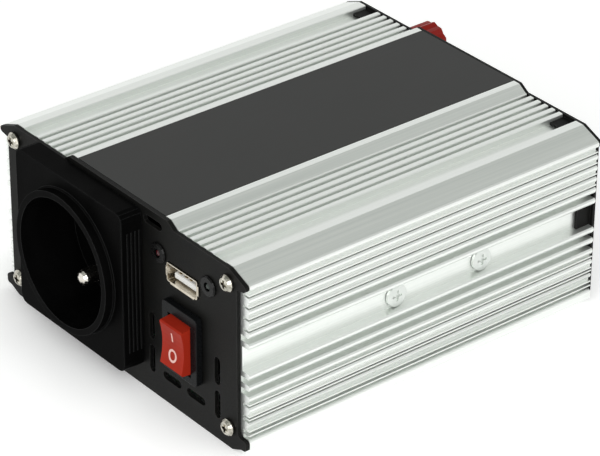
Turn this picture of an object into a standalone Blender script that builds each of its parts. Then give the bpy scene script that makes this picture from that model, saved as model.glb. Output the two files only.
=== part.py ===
"""Portable power inverter: ribbed case, end panels, mains socket, charging port, switch, fan and terminals.

Metres, +Z up. The front panel faces -Y and the origin is the centre of the case's underside.
"""

import math

import bmesh
import bpy
from mathutils import Matrix

MM = 0.001

# General clearances
FIT = 0.2 * MM
BOSS_SCREW_CLEARANCE = 0.25 * MM

# Case: an aluminium extrusion along Y, drawn as a half profile in X and Z
CASE_LENGTH = 122.4 * MM
HALF_WIDTH = 55.3 * MM
RIB_HEIGHT = 55.2 * MM
PLATFORM_RISE = 1.9 * MM
PLATFORM_HALF = 22.1 * MM
SLOPE_WIDTH = 2.9 * MM
SIDE_WALL = 2.1 * MM
TOP_WALL = 1.7 * MM
ROOF_WALL = 2.1 * MM
BASE_WALL = 2.0 * MM

# Grooves along the case's top
TOP_GROOVE_LAND = 1.05 * MM
TOP_GROOVE_PITCH = 2.96 * MM
TOP_GROOVE_WIDTH = 1.2 * MM
TOP_GROOVE_DEPTH = 1.7 * MM
WIDE_GROOVE_LAND = 3.1 * MM
WIDE_GROOVE_WIDTH = 5.1 * MM
WIDE_GROOVE_DEPTH = 2.0 * MM
GROOVE_CHAMFER = 0.25 * MM

# Upper lip, side fins and foot
SHOULDER_WIDTH = 6.9 * MM
LIP_DROP = 3.45 * MM
LIP_NOSE = 1.0 * MM
LIP_START_ANGLE = 65.0
LIP_END_ANGLE = -80.0
LIP_ROOT_DROP = 5.0 * MM
LIP_GROOVE = 1.7 * MM
END_GROOVE_DEPTH = 1.1 * MM
FIN_SETBACK = 0.25 * MM
FIN_DEPTH = 3.55 * MM
FIN_PITCH = 3.47 * MM
FIN_THICKNESS = 1.7 * MM
FIN_CHAMFER = 0.4 * MM
FIN_UNDER = 0.65 * MM
RIDGED_DEPTH = 0.65 * MM
LOWER_RIDGED_DEPTH = 1.2 * MM
SLIT_DEPTH = 2.6 * MM
RIDGE_SETBACK = 0.05 * MM
RIDGE_THICKNESS = 0.45 * MM
RIDGE_CHAMFER = 0.1 * MM
BAND_HEIGHT = 7.0 * MM
BAND_DEPTH = 3.0 * MM
LOWER_FIN_COUNT = 4
LAST_FIN_TOP = 10.2 * MM
LAST_FIN_THICKNESS = 1.2 * MM
LAST_FIN_GROOVE = 3.0 * MM
FOOT_SETBACK = 0.1 * MM
FOOT_HEIGHT = 3.9 * MM
FOOT_NOSE = 1.0 * MM
FOOT_START_ANGLE = 80.0
FOOT_LOW_HEIGHT = 2.6 * MM
FOOT_LOW_NOSE = 0.8 * MM
FOOT_END_ANGLE = -85.0
FOOT_FILLET = 1.4 * MM
FILLET_SAG_SHARE = 0.3
FOOT_BEND_INSET = 1.9 * MM
FOOT_BEND_Z = 1.7 * MM
BASE_BEVEL = 5.9 * MM

# Label in a shallow recess of the platform
LABEL_MARGIN = 2.4 * MM
LABEL_THICKNESS = 0.3 * MM
LABEL_PROUD = 0.05 * MM

# Screw channels in the case's corners and the slots that hold the board
BOSS_INSET = 1.3 * MM
BOSS_DROP = 4.4 * MM
BOSS_LOWER_Z = 6.4 * MM
BOSS_RADIUS = 3.0 * MM
BOSS_END_ANGLE = 210.0
LEDGE_DEPTH = 2.0 * MM
LEDGE_THICKNESS = 1.1 * MM
LEDGE_TOP = 10.7 * MM

# End panels
PANEL_THICKNESS = 1.2 * MM
REAR_PANEL_THICKNESS = 0.8 * MM
REAR_PANEL_SETBACK = 0.9 * MM
TAB_LENGTH = 5.0 * MM
PANEL_OVERHANG = 0.1 * MM

# Cross-recessed screws
SCREW_SHANK = 1.45 * MM
SCREW_LENGTH = 9.0 * MM
SCREW_HEAD = 2.5 * MM
SCREW_HEAD_HEIGHT = 1.6 * MM
RECESS_DEPTH_SHARE = 0.5
RECESS_WIDTH = 0.8 * MM
RECESS_SHARE = 0.5
PAN_CROWN = (0.72, 0.82)
PAN_SIDE = 0.3
FLAT_CROWN = (0.94, 0.98)
FLAT_SIDE = 0.9
CLAMP_HEAD = 3.35 * MM
CLAMP_HEAD_HEIGHT = 0.9 * MM
CLAMP_SCREW_FRONT = -9.4 * MM
CLAMP_SCREW_REAR = 21.0 * MM
CLAMP_SCREW_TIP = 2.0 * MM

# Mains socket, hung a little below the case's roof
SOCKET_X = -13.1 * MM
SOCKET_ROOF_GAP = 2.35 * MM
SOCKET_MARGIN_X = 3.6 * MM
SOCKET_MARGIN_Z = 3.8 * MM
SOCKET_CORNER = 2.5 * MM
SOCKET_EDGE = 0.6 * MM
SOCKET_BLOCK = 7.0 * MM
SOCKET_COLLAR = 3.0 * MM
WELL_RADIUS = 18.9 * MM
WELL_DEPTH = 18.0 * MM
WELL_WALL = 1.9 * MM
WELL_FLOOR = 6.0 * MM
COLLAR_FLARE = 0.5 * MM
CONTACT_SPACING = 19.0 * MM
CONTACT_HOLE = 2.6 * MM
CONTACT_RADIUS = 3.2 * MM
CONTACT_BORE = 2.2 * MM
CONTACT_LENGTH = 11.0 * MM
EARTH_OFFSET = 7.4 * MM
EARTH_RADIUS = 2.4 * MM
EARTH_LENGTH = 12.1 * MM
EARTH_COLLAR = 3.4 * MM
EARTH_COLLAR_HEIGHT = 1.2 * MM
EARTH_TAIL = 8.0 * MM

# Charging port
USB_X = 28.8 * MM
USB_DROP = 13.0 * MM
USB_WIDTH = 13.1 * MM
USB_TALL = 5.7 * MM
USB_WALL = 0.3 * MM
USB_CORNER = 0.5 * MM
USB_LENGTH = 14.0 * MM
USB_PROUD = 0.5 * MM
USB_LIP = 0.5 * MM
USB_LIP_FRONT = 0.45 * MM
USB_LIP_BACK = 0.15 * MM
USB_LIP_INSET = 1.4 * MM
TONGUE_WIDTH = 10.6 * MM
TONGUE_THICKNESS = 1.84 * MM
TONGUE_LIFT = -1.15 * MM
TONGUE_RECESS = 1.5 * MM
TONGUE_ROUNDING = 0.45 * MM
TONGUE_BASE = 3.0 * MM
USB_BOARD_WIDTH = 18.0 * MM
USB_BOARD_OVERHANG = 7.3 * MM
USB_BOARD_THICKNESS = 1.6 * MM

# Indicator lamps
LED_DROP = 9.35 * MM
POWER_LED_X = 40.0 * MM
FAULT_LED_X = 18.4 * MM
LED_RADIUS = 1.1 * MM
LED_LENGTH = 5.5 * MM
BEZEL_FLANGE = 0.8 * MM
BEZEL_BODY = 2.2 * MM
BEZEL_EDGE = 0.27 * MM
BEZEL_PROUD = 0.8 * MM
BEZEL_LENGTH = 5.0 * MM

# Rocker switch
SWITCH_X = 29.5 * MM
SWITCH_DROP = 31.3 * MM
SWITCH_FLANGE = 0.9 * MM
SWITCH_FRAME_CORNER = 1.2 * MM
SWITCH_FRAME_EDGE = 0.4 * MM
SWITCH_FRAME_PROUD = 2.0 * MM
SWITCH_SIDE_WALL = 1.65 * MM
SWITCH_END_WALL = 1.6 * MM
SWITCH_BODY_DEPTH = 15.0 * MM
ROCKER_WIDTH = 9.4 * MM
ROCKER_SIDE_GAP = 0.25 * MM
ROCKER_DROP = 0.45 * MM
ROCKER_SWING_RADIUS = 7.7 * MM
ROCKER_INSET = 0.65 * MM
ROCKER_DRAFT = 0.3 * MM
ROCKER_EDGE = 0.4 * MM
ROCKER_END_GAP = 0.3 * MM
ROCKER_PIVOT_DEPTH = 3.7 * MM
ROCKER_END_PROUD = 2.9 * MM
ROCKER_DIP = 0.9 * MM
ROCKER_BACK = 4.5 * MM
ROCKER_BACK_HALF = 3.0 * MM
ROCKER_SKIRT = 1.0 * MM
ROCKER_WELL_DEPTH = 10.0 * MM
ROCKER_PIN_RADIUS = 1.0 * MM
ROCKER_PIN_GRIP = 0.6 * MM
TERMINAL_WIDTH = 6.3 * MM
TERMINAL_THICKNESS = 0.8 * MM
TERMINAL_LENGTH = 8.0 * MM
TERMINAL_SPACING = 7.0 * MM

# Vent slots of the front panel, placed from the switch and from the platform's top
VENT_WIDTH = 2.5 * MM
SLOT_END_SHARE = 0.49
VENT_LENGTH = 8.7 * MM
LEVEL_VENT_LENGTH = 8.2 * MM
VENT_RIGHT = 13.65 * MM
VENT_LEFT = -15.05 * MM
VENT_UPPER = -2.6 * MM
VENT_LOWER = -13.1 * MM
VENT_UNDER = -15.6 * MM
VENT_UNDER_LEFT = -6.25 * MM
VENT_UNDER_RIGHT = 4.25 * MM
VENT_TOP_X = 15.7 * MM
VENT_TOP_DROP = 3.4 * MM

# Battery terminals on the rear panel
POST_INSET = 16.1 * MM
POSITIVE_DROP = 12.2 * MM
POST_SPACING = 23.0 * MM
STUD_RADIUS = 2.45 * MM
STUD_INNER_LENGTH = 10.0 * MM
STUD_FLANGE = 5.0 * MM
STUD_FLANGE_THICKNESS = 1.5 * MM
STUD_CHAMFER = 0.5 * MM
INSULATOR_RADIUS = 7.0 * MM
INSULATOR_THICKNESS = 2.5 * MM
INSULATOR_SLEEVE = 3.7 * MM
WASHER_RADIUS = 5.2 * MM
WASHER_THICKNESS = 1.0 * MM
KNOB_RADIUS = 6.3 * MM
KNOB_LENGTH = 10.0 * MM
KNOB_CAP = 1.4 * MM
KNOB_FLUTES = 12
KNOB_FLUTE_DEPTH = 0.55 * MM
KNOB_FLUTE_POINTS = 4
KNOB_ROUNDING = 0.7 * MM
NUT_RADIUS = 4.6 * MM
NUT_THICKNESS = 4.0 * MM

# Cooling fan behind the rear panel
FAN_SIDE_GAP = 3.1 * MM
FAN_SIZE = 40.0 * MM
FAN_DEPTH = 10.0 * MM
FAN_CORNER = 3.0 * MM
FAN_RIM = 1.0 * MM
FAN_HOLE_INSET = 4.0 * MM
FAN_HUB = 8.6 * MM
FAN_HUB_WALL = 1.0 * MM
FAN_BLADE_COUNT = 7
FAN_BLADE_THICKNESS = 0.9 * MM
FAN_BLADE_CHORD = 7.6 * MM
FAN_BLADE_ANGLE = 35.0
FAN_TIP_GAP = 0.6 * MM
FAN_STRUT_WIDTH = 3.0 * MM
FAN_STRUT_THICKNESS = 1.6 * MM
FAN_STRUT_COUNT = 3
FAN_SHAFT = 1.0 * MM
STATOR_GAP = 0.8 * MM
STATOR_HEIGHT = 4.6 * MM
GRILLE_INSET = 1.5 * MM
GRILLE_PITCH = 4.6 * MM
FAN_SCREW_LENGTH = 10.0 * MM

# Main board and what stands on it
BOARD_THICKNESS = 1.6 * MM
BOARD_FRONT_GAP = 2.2 * MM
BOARD_REAR_GAP = 3.6 * MM
CORE_GAP = 4.1 * MM
CORE_Y = -4.0 * MM
CORE_LEG = 12.0 * MM
CORE_SIDE_LEG = 6.0 * MM
CORE_WINDOW_WIDTH = 8.0 * MM
CORE_WINDOW_HEIGHT = 21.0 * MM
CORE_YOKE = 5.5 * MM
CORE_DEPTH = 13.0 * MM
WINDING_GAP = 0.6 * MM
WINDING_CORNER = 3.0 * MM
BUS_CAPACITOR_X = -22.0 * MM
BUS_CAPACITOR_Y = -8.0 * MM
BUS_CAPACITOR_RADIUS = 9.0 * MM
BUS_CAPACITOR_HEIGHT = 30.0 * MM
INPUT_CAPACITOR_X = -13.0 * MM
INPUT_CAPACITOR_Y = 30.0 * MM
INPUT_CAPACITOR_RADIUS = 8.0 * MM
INPUT_CAPACITOR_HEIGHT = 26.0 * MM
CAN_GROOVE = 0.7 * MM
CAN_GROOVE_HEIGHT = 3.0 * MM
CAN_ROUNDING = 1.0 * MM
CHOKE_X = 14.0 * MM
CHOKE_Y = 28.0 * MM
CHOKE_RADIUS = 8.0 * MM
CHOKE_SECTION = 3.6 * MM
TRANSISTOR_WIDTH = 10.2 * MM
TRANSISTOR_DEPTH = 4.6 * MM
TRANSISTOR_TALL = 15.5 * MM
TRANSISTOR_GAP = 1.2 * MM
TRANSISTOR_LEG_WIDTH = 0.9 * MM
TRANSISTOR_LEG_THICKNESS = 0.6 * MM
TRANSISTOR_LEG_PITCH = 2.54 * MM
CLAMP_BAR_THICKNESS = 2.5 * MM
CLAMP_BAR_TALL = 12.0 * MM
CLAMP_BAR_END = 6.0 * MM
LEAD_RADIUS = 2.0 * MM
LEAD_X_STEP = 6.0 * MM
LEAD_RUN = 27.2 * MM
LEAD_STRAIGHT = 2.0 * MM

# Roundness of turned pieces in facets, of bends in steps, and the angles shaded smooth
FINE_STEPS = 48
ROUND_STEPS = 24
SMALL_STEPS = 16
SCREW_STEPS = 16
CHOKE_FACETS = 8
DOME_STEPS = 4
SLOT_STEPS = 2
LIP_NOSE_STEPS = 5
FOOT_NOSE_STEPS = 3
BOSS_STEPS = 6
ROCKER_DIP_STEPS = 8
ROCKER_END_STEPS = 3
LEAD_STEPS = 8
SMOOTH_ANGLE = 40
FINE_SMOOTH_ANGLE = 30
ROUND_SMOOTH_ANGLE = 60

# Places along the case that follow from the sizes above
CASE_HALF = CASE_LENGTH / 2
FRONT_INSIDE = -CASE_HALF - FIT
FRONT_FACE = FRONT_INSIDE - PANEL_THICKNESS
REAR_INSIDE = CASE_HALF + FIT
REAR_FACE = REAR_INSIDE + REAR_PANEL_THICKNESS

# The case's profile
PLATFORM_HEIGHT = RIB_HEIGHT + PLATFORM_RISE
SLOPE_FOOT = PLATFORM_HALF + SLOPE_WIDTH
LABEL_HALF = PLATFORM_HALF - LABEL_MARGIN
LABEL_SEAT = PLATFORM_HEIGHT + LABEL_PROUD - LABEL_THICKNESS - FIT
SHOULDER = HALF_WIDTH - SHOULDER_WIDTH
WIDE_GROOVE_INNER = SHOULDER - WIDE_GROOVE_LAND - WIDE_GROOVE_WIDTH
TOP_GROOVE_FIRST = SLOPE_FOOT + TOP_GROOVE_LAND
TOP_GROOVE_ROOM = WIDE_GROOVE_INNER - TOP_GROOVE_FIRST - TOP_GROOVE_PITCH / 2
TOP_GROOVE_COUNT = int(TOP_GROOVE_ROOM / TOP_GROOVE_PITCH) + 1
LIP_HEIGHT = RIB_HEIGHT - LIP_DROP
LIP_ROOT = RIB_HEIGHT - LIP_ROOT_DROP
FIN_REACH = HALF_WIDTH - FIN_SETBACK
SIDE_FLOOR = FIN_REACH - FIN_DEPTH
RIDGE_REACH = FIN_REACH - RIDGE_SETBACK
BAND_FLOOR = FIN_REACH - BAND_DEPTH
LOWEST_FIN_TOP = LAST_FIN_TOP + LAST_FIN_GROOVE + FIN_THICKNESS
LOWER_FIN_TOP = LOWEST_FIN_TOP + (LOWER_FIN_COUNT - 1) * FIN_PITCH
UPPER_FIN_TOP = LIP_ROOT - LIP_GROOVE
UPPER_FIN_ROOM = UPPER_FIN_TOP - FIN_THICKNESS - LOWER_FIN_TOP - BAND_HEIGHT
UPPER_FIN_COUNT = int(UPPER_FIN_ROOM / FIN_PITCH) + 1
FOOT_REACH = HALF_WIDTH - FOOT_SETBACK
FOOT_TOP = FOOT_HEIGHT + FOOT_NOSE
FOOT_BEND_X = FOOT_REACH - FOOT_BEND_INSET
BASE_HALF = HALF_WIDTH - BASE_BEVEL
WALL_INNER = SIDE_FLOOR - SIDE_WALL
CEILING = RIB_HEIGHT - TOP_GROOVE_DEPTH - TOP_WALL
ROOF = LABEL_SEAT - ROOF_WALL
BOSS_X = WALL_INNER - BOSS_INSET
BOSS_UPPER_Z = RIB_HEIGHT - BOSS_DROP
SCREW_HOLE = SCREW_SHANK + BOSS_SCREW_CLEARANCE
PANEL_SIDE = SIDE_FLOOR + PANEL_OVERHANG
REAR_PANEL_SIDE = FIN_REACH - REAR_PANEL_SETBACK

# The front panel's pieces
WELL_OUTER = WELL_RADIUS + WELL_WALL
SOCKET_Z = ROOF - SOCKET_ROOF_GAP - WELL_OUTER
SOCKET_WIDTH = 2 * (WELL_OUTER + SOCKET_MARGIN_X)
SOCKET_TALL = 2 * (WELL_OUTER + SOCKET_MARGIN_Z)
SOCKET_FACE = FIT + SOCKET_BLOCK
SOCKET_RIM = SOCKET_FACE + SOCKET_COLLAR
SOCKET_FLOOR = SOCKET_RIM - WELL_DEPTH
SOCKET_BACK = SOCKET_FLOOR - WELL_FLOOR
USB_Z = RIB_HEIGHT - USB_DROP
LED_Z = RIB_HEIGHT - LED_DROP
BEZEL_RADIUS = BEZEL_BODY + BEZEL_FLANGE
SWITCH_Z = RIB_HEIGHT - SWITCH_DROP
ROCKER_HALF_LENGTH = ROCKER_SWING_RADIUS - ROCKER_INSET
ROCKER_OPENING_TALL = 2 * (ROCKER_SWING_RADIUS + ROCKER_END_GAP)
ROCKER_OPENING_WIDTH = ROCKER_WIDTH + 2 * ROCKER_SIDE_GAP
SWITCH_BODY_WIDTH = ROCKER_OPENING_WIDTH + 2 * SWITCH_SIDE_WALL
SWITCH_BODY_TALL = ROCKER_OPENING_TALL + 2 * SWITCH_END_WALL
SWITCH_FRAME_WIDTH = SWITCH_BODY_WIDTH + 2 * SWITCH_FLANGE
SWITCH_FRAME_TALL = SWITCH_BODY_TALL + 2 * SWITCH_FLANGE
SWITCH_FRAME_FRONT = FIT + SWITCH_FRAME_PROUD
ROCKER_PIVOT_Y = FRONT_FACE - SWITCH_FRAME_FRONT + ROCKER_PIVOT_DEPTH

# The rear panel's pieces
POST_X = POST_INSET - WALL_INNER
POSITIVE_Z = RIB_HEIGHT - POSITIVE_DROP
NEGATIVE_Z = POSITIVE_Z - POST_SPACING
STUD_BORE = STUD_RADIUS + FIT
FLANGE_SEAT = INSULATOR_THICKNESS + 2 * FIT
WASHER_SEAT = FLANGE_SEAT + STUD_FLANGE_THICKNESS + FIT
KNOB_SEAT = WASHER_SEAT + WASHER_THICKNESS + FIT
STUD_END = KNOB_SEAT + KNOB_LENGTH - KNOB_CAP - FIT
FAN_X = BOSS_X - BOSS_RADIUS - FAN_SIDE_GAP - FAN_SIZE / 2
FAN_Z = (BASE_WALL + CEILING) / 2
FAN_BORE = FAN_SIZE / 2 - FAN_RIM
FAN_HOLE_REACH = FAN_SIZE / 2 - FAN_HOLE_INSET
FAN_FRONT = REAR_INSIDE - FIT - FAN_DEPTH
STATOR_RADIUS = FAN_HUB - FAN_HUB_WALL - STATOR_GAP
STATOR_BASE = FAN_STRUT_THICKNESS + FIT
STATOR_TOP = STATOR_BASE + STATOR_HEIGHT
GRILLE_RADIUS = FAN_BORE - GRILLE_INSET

# Inside the case
BOARD_BOTTOM = LEDGE_TOP + FIT
BOARD_TOP = BOARD_BOTTOM + BOARD_THICKNESS
BOARD_SEAT = BOARD_TOP + FIT
SLOT_TOP = BOARD_TOP + FIT
BOARD_FRONT = FRONT_FACE - SOCKET_BACK + BOARD_FRONT_GAP
BOARD_REAR = FAN_FRONT - BOARD_REAR_GAP
CLAMP_SCREW_Z = LOWER_FIN_TOP + BAND_HEIGHT / 2
TRANSISTOR_OUTER = WALL_INNER - FIT
TRANSISTOR_INNER = TRANSISTOR_OUTER - TRANSISTOR_DEPTH
CLAMP_BAR_OUTER = TRANSISTOR_INNER - FIT
CLAMP_BAR_INNER = CLAMP_BAR_OUTER - CLAMP_BAR_THICKNESS
CLAMP_SCREW_END = CLAMP_BAR_INNER - CLAMP_SCREW_TIP
CLAMP_SCREW_LENGTH = BAND_FLOOR + FIT - CLAMP_SCREW_END
CORE_WIDTH = CORE_LEG + 2 * CORE_WINDOW_WIDTH + 2 * CORE_SIDE_LEG
CORE_HEIGHT = CORE_WINDOW_HEIGHT + 2 * CORE_YOKE
CORE_X = CLAMP_SCREW_END - CORE_GAP - CORE_WIDTH / 2

FACE_FRONT = Matrix.Rotation(math.radians(90), 4, "X")
FACE_REAR = Matrix.Rotation(math.radians(-90), 4, "X")
FACE_RIGHT = Matrix.Rotation(math.radians(90), 4, "Y")
FACE_LEFT = Matrix.Rotation(math.radians(-90), 4, "Y")
FACE_UP = Matrix.Identity(4)


# Scene, materials and shape helpers


def clear_scene():
    for obj in list(bpy.data.objects):
        bpy.data.objects.remove(obj, do_unlink=True)


def new_collection(name):
    collection = bpy.data.collections.new(name)
    bpy.context.scene.collection.children.link(collection)
    return collection


def new_material(name, colour, roughness, metallic=0.0):
    material = bpy.data.materials.new(name)
    material.use_nodes = True
    shader = material.node_tree.nodes["Principled BSDF"]
    shader.inputs["Base Color"].default_value = (*colour, 1.0)
    shader.inputs["Roughness"].default_value = roughness
    shader.inputs["Metallic"].default_value = metallic
    return material


def circle(centre, radius, count=ROUND_STEPS):
    return arc(centre, radius, 0, 360 - 360 / count, count - 1)


def arc(centre, radius, start, end, steps):
    """Points from the start angle to the end angle in degrees, both included."""
    angles = [math.radians(start + (end - start) * i / steps) for i in range(steps + 1)]
    return [(centre[0] + radius * math.cos(a), centre[1] + radius * math.sin(a)) for a in angles]


def rounded_rectangle(centre, width, height, radius, steps=3):
    """A closed outline that runs anticlockwise from its right side."""
    reach_u = width / 2 - radius
    reach_v = height / 2 - radius
    points = []
    for start, sign_u, sign_v in ((0, 1, 1), (90, -1, 1), (180, -1, -1), (270, 1, -1)):
        corner = (centre[0] + sign_u * reach_u, centre[1] + sign_v * reach_v)
        points += arc(corner, radius, start, start + 90, steps)
    return points


def slot(centre, width, height):
    """A vent slot with round ends, longer along its greater side."""
    short = min(width, height)
    return rounded_rectangle(centre, width, height, short * SLOT_END_SHARE, SLOT_STEPS)


def mirrored(half):
    """The closed outline of a right half that runs from top to bottom."""
    return half + [(-x, z) for x, z in reversed(half)]


def link(obj, material):
    obj.data.materials.clear()
    obj.data.materials.append(material)
    PARTS.objects.link(obj)
    obj.parent = ROOT
    return obj


def mesh_from(obj):
    """The evaluated mesh of an object, closed and facing out, in the object's own space."""
    bpy.context.view_layer.update()
    graph = bpy.context.evaluated_depsgraph_get()
    mesh = bpy.data.meshes.new_from_object(obj.evaluated_get(graph))
    shape = bmesh.new()
    shape.from_mesh(mesh)
    bmesh.ops.remove_doubles(shape, verts=shape.verts, dist=0.001 * MM)
    bmesh.ops.recalc_face_normals(shape, faces=shape.faces)
    shape.to_mesh(mesh)
    shape.free()
    return mesh


def sheet_mesh(name, outlines, low, high):
    """Flat outlines, holes among them, extruded along local Z from low to high."""
    curve = bpy.data.curves.new(name, "CURVE")
    curve.dimensions = "2D"
    curve.fill_mode = "BOTH"
    curve.extrude = (high - low) / 2
    for outline in outlines:
        spline = curve.splines.new("POLY")
        spline.points.add(len(outline) - 1)
        for point, (u, v) in zip(spline.points, outline):
            point.co = (u, v, 0.0, 1.0)
        spline.use_cyclic_u = True
    guide = bpy.data.objects.new(name, curve)
    bpy.context.scene.collection.objects.link(guide)
    mesh = mesh_from(guide)
    mesh.transform(Matrix.Translation((0, 0, (high + low) / 2)))
    bpy.data.objects.remove(guide, do_unlink=True)
    mesh.name = name
    return mesh


def turned_mesh(name, profile, steps=ROUND_STEPS, closed=False):
    """A profile of radius and height turned about local Z, running down its outer side."""
    mesh = bpy.data.meshes.new(name)
    edges = [(i, i + 1) for i in range(len(profile) - 1)]
    if closed:
        edges.append((len(profile) - 1, 0))
    mesh.from_pydata([(r, 0, h) for r, h in profile], edges, [])
    guide = bpy.data.objects.new(name, mesh)
    bpy.context.scene.collection.objects.link(guide)
    screw = guide.modifiers.new("Turn", "SCREW")
    screw.steps = screw.render_steps = steps
    screw.use_merge_vertices = True
    screw.merge_threshold = 0.001 * MM
    result = mesh_from(guide)
    bpy.data.objects.remove(guide, do_unlink=True)
    result.name = name
    return result


def box_mesh(name, low, high):
    shape = bmesh.new()
    bmesh.ops.create_cube(shape, size=1.0)
    size = [b - a for a, b in zip(low, high)]
    middle = [(a + b) / 2 for a, b in zip(low, high)]
    fit_box = Matrix.Translation(middle) @ Matrix.Diagonal((*size, 1))
    bmesh.ops.transform(shape, verts=shape.verts, matrix=fit_box)
    mesh = bpy.data.meshes.new(name)
    shape.to_mesh(mesh)
    shape.free()
    return mesh


def merged_mesh(name, meshes):
    """Several closed shapes that don't touch, as one mesh for a Boolean."""
    shape = bmesh.new()
    for mesh in meshes:
        shape.from_mesh(mesh)
    result = bpy.data.meshes.new(name)
    shape.to_mesh(result)
    shape.free()
    return result


def add_boolean(obj, operation, mesh):
    """A Boolean with a hidden helper, whose mesh is in the object's own space."""
    helper = bpy.data.objects.new(f"{obj.name}_{mesh.name}", mesh)
    CUTTERS.objects.link(helper)
    helper.matrix_world = obj.matrix_world
    helper.hide_render = True
    helper.display_type = "WIRE"
    step = obj.modifiers.new(mesh.name, "BOOLEAN")
    step.operation = operation
    step.solver = "EXACT"
    step.object = helper
    return helper


def combined(mesh, operation, other):
    """The mesh with the other one cut from it or joined to it, for copies to share."""
    target = bpy.data.objects.new(mesh.name, mesh)
    bpy.context.scene.collection.objects.link(target)
    helper = add_boolean(target, operation, other)
    result = mesh_from(target)
    result.name = mesh.name
    bpy.data.objects.remove(target, do_unlink=True)
    bpy.data.objects.remove(helper, do_unlink=True)
    return result


def cut(mesh, cutter):
    return combined(mesh, "DIFFERENCE", cutter)


def join(mesh, other):
    return combined(mesh, "UNION", other)


def rounded(mesh, width, segments=1):
    """The mesh with its sharp outer edges rounded off."""
    guide = bpy.data.objects.new(mesh.name, mesh)
    bpy.context.scene.collection.objects.link(guide)
    rounding = guide.modifiers.new("Round", "BEVEL")
    rounding.width = width
    rounding.segments = segments
    rounding.limit_method = "ANGLE"
    rounding.angle_limit = math.radians(60)
    result = mesh_from(guide)
    result.name = mesh.name
    bpy.data.objects.remove(guide, do_unlink=True)
    return result


def rod_mesh(radius, low, high, place, steps=SMALL_STEPS):
    """A closed round bar along a placed local Z, for cutting or joining."""
    shape = bmesh.new()
    lift = place @ Matrix.Translation((0, 0, (low + high) / 2))
    bmesh.ops.create_cone(
        shape, cap_ends=True, segments=steps, radius1=radius, radius2=radius, depth=high - low, matrix=lift
    )
    mesh = bpy.data.meshes.new("rod")
    shape.to_mesh(mesh)
    shape.free()
    return mesh


def place_part(name, mesh, material, turn=FACE_UP, at=(0, 0, 0), smooth=None):
    obj = bpy.data.objects.new(name, mesh)
    obj.matrix_world = Matrix.Translation(at) @ turn
    if smooth is not None:
        mesh.shade_smooth()
        mesh.set_sharp_from_angle(angle=math.radians(smooth))
    return link(obj, material)


# Case extrusion


def fin_face(top, thickness, reach, chamfer, under):
    """A fin's outer face, its upper edge chamfered and its lower part sloped back."""
    bottom = top - thickness
    upper = [(reach - chamfer, top), (reach, top - chamfer)]
    return upper + [(reach, bottom + under), (reach - chamfer, bottom)]


def groove(top, bottom, count, depth):
    """A side groove between two heights: thin ridges spread evenly over it, a deep slit under each."""
    floor = FIN_REACH - depth
    points = [(floor, top)]
    for i in range(count):
        middle = top + (bottom - top) * (i + 1) / (count + 1)
        ridge_top = middle + RIDGE_THICKNESS / 2
        points.append((floor, ridge_top))
        points += fin_face(ridge_top, RIDGE_THICKNESS, RIDGE_REACH, RIDGE_CHAMFER, RIDGE_CHAMFER)
        floor = FIN_REACH - SLIT_DEPTH
        points.append((floor, ridge_top - RIDGE_THICKNESS))
    return points + [(floor, bottom)]


def upper_fin_tops():
    return [UPPER_FIN_TOP - i * FIN_PITCH for i in range(UPPER_FIN_COUNT)]


def lower_fin_tops():
    return [LOWER_FIN_TOP - i * FIN_PITCH for i in range(LOWER_FIN_COUNT)]


def lip_points():
    """The sloped shoulder and the lip's round nose."""
    nose = (HALF_WIDTH - LIP_NOSE, LIP_HEIGHT)
    return [(SHOULDER, RIB_HEIGHT)] + arc(nose, LIP_NOSE, LIP_START_ANGLE, LIP_END_ANGLE, LIP_NOSE_STEPS)


def foot_points():
    """The foot's nose, round above and below, and the bevel under it."""
    upper = (FOOT_REACH - FOOT_NOSE, FOOT_HEIGHT)
    lower = (FOOT_REACH - FOOT_LOW_NOSE, FOOT_LOW_HEIGHT)
    points = arc(upper, FOOT_NOSE, FOOT_START_ANGLE, 0, FOOT_NOSE_STEPS)
    points += arc(lower, FOOT_LOW_NOSE, 0, FOOT_END_ANGLE, FOOT_NOSE_STEPS)
    return points + [(FOOT_BEND_X, FOOT_BEND_Z), (BASE_HALF, 0.0)]


def top_points():
    """The label's recess, the platform, its slope, the narrow grooves and the wide one."""
    points = [(LABEL_HALF + FIT, LABEL_SEAT), (LABEL_HALF + FIT, PLATFORM_HEIGHT)]
    points += [(PLATFORM_HALF, PLATFORM_HEIGHT), (SLOPE_FOOT, RIB_HEIGHT)]
    for i in range(TOP_GROOVE_COUNT):
        middle = TOP_GROOVE_FIRST + i * TOP_GROOVE_PITCH
        points += top_groove(middle - TOP_GROOVE_WIDTH / 2, TOP_GROOVE_WIDTH, TOP_GROOVE_DEPTH)
    return points + top_groove(WIDE_GROOVE_INNER, WIDE_GROOVE_WIDTH, WIDE_GROOVE_DEPTH)


def top_groove(left, width, depth):
    right = left + width
    floor = RIB_HEIGHT - depth
    return [
        (left - GROOVE_CHAMFER, RIB_HEIGHT),
        (left, RIB_HEIGHT - GROOVE_CHAMFER),
        (left, floor),
        (right, floor),
        (right, RIB_HEIGHT - GROOVE_CHAMFER),
        (right + GROOVE_CHAMFER, RIB_HEIGHT),
    ]


def side_fins():
    """Each fin from the lip down: its top and thickness, and the ridges and depth of the groove above it."""
    upper = [(top, FIN_THICKNESS, 1, RIDGED_DEPTH) for top in upper_fin_tops()]
    upper[0] = (UPPER_FIN_TOP, FIN_THICKNESS, 1, END_GROOVE_DEPTH)
    upper[-1] = (upper[-1][0], FIN_THICKNESS, 0, FIN_DEPTH)
    lower = [(top, FIN_THICKNESS, 0, FIN_DEPTH) for top in lower_fin_tops()]
    lower[0] = (LOWER_FIN_TOP, FIN_THICKNESS, 0, BAND_DEPTH)
    lower[-1] = (LOWEST_FIN_TOP, FIN_THICKNESS, 1, LOWER_RIDGED_DEPTH)
    return upper + lower + [(LAST_FIN_TOP, LAST_FIN_THICKNESS, 2, RIDGED_DEPTH)]


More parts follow.
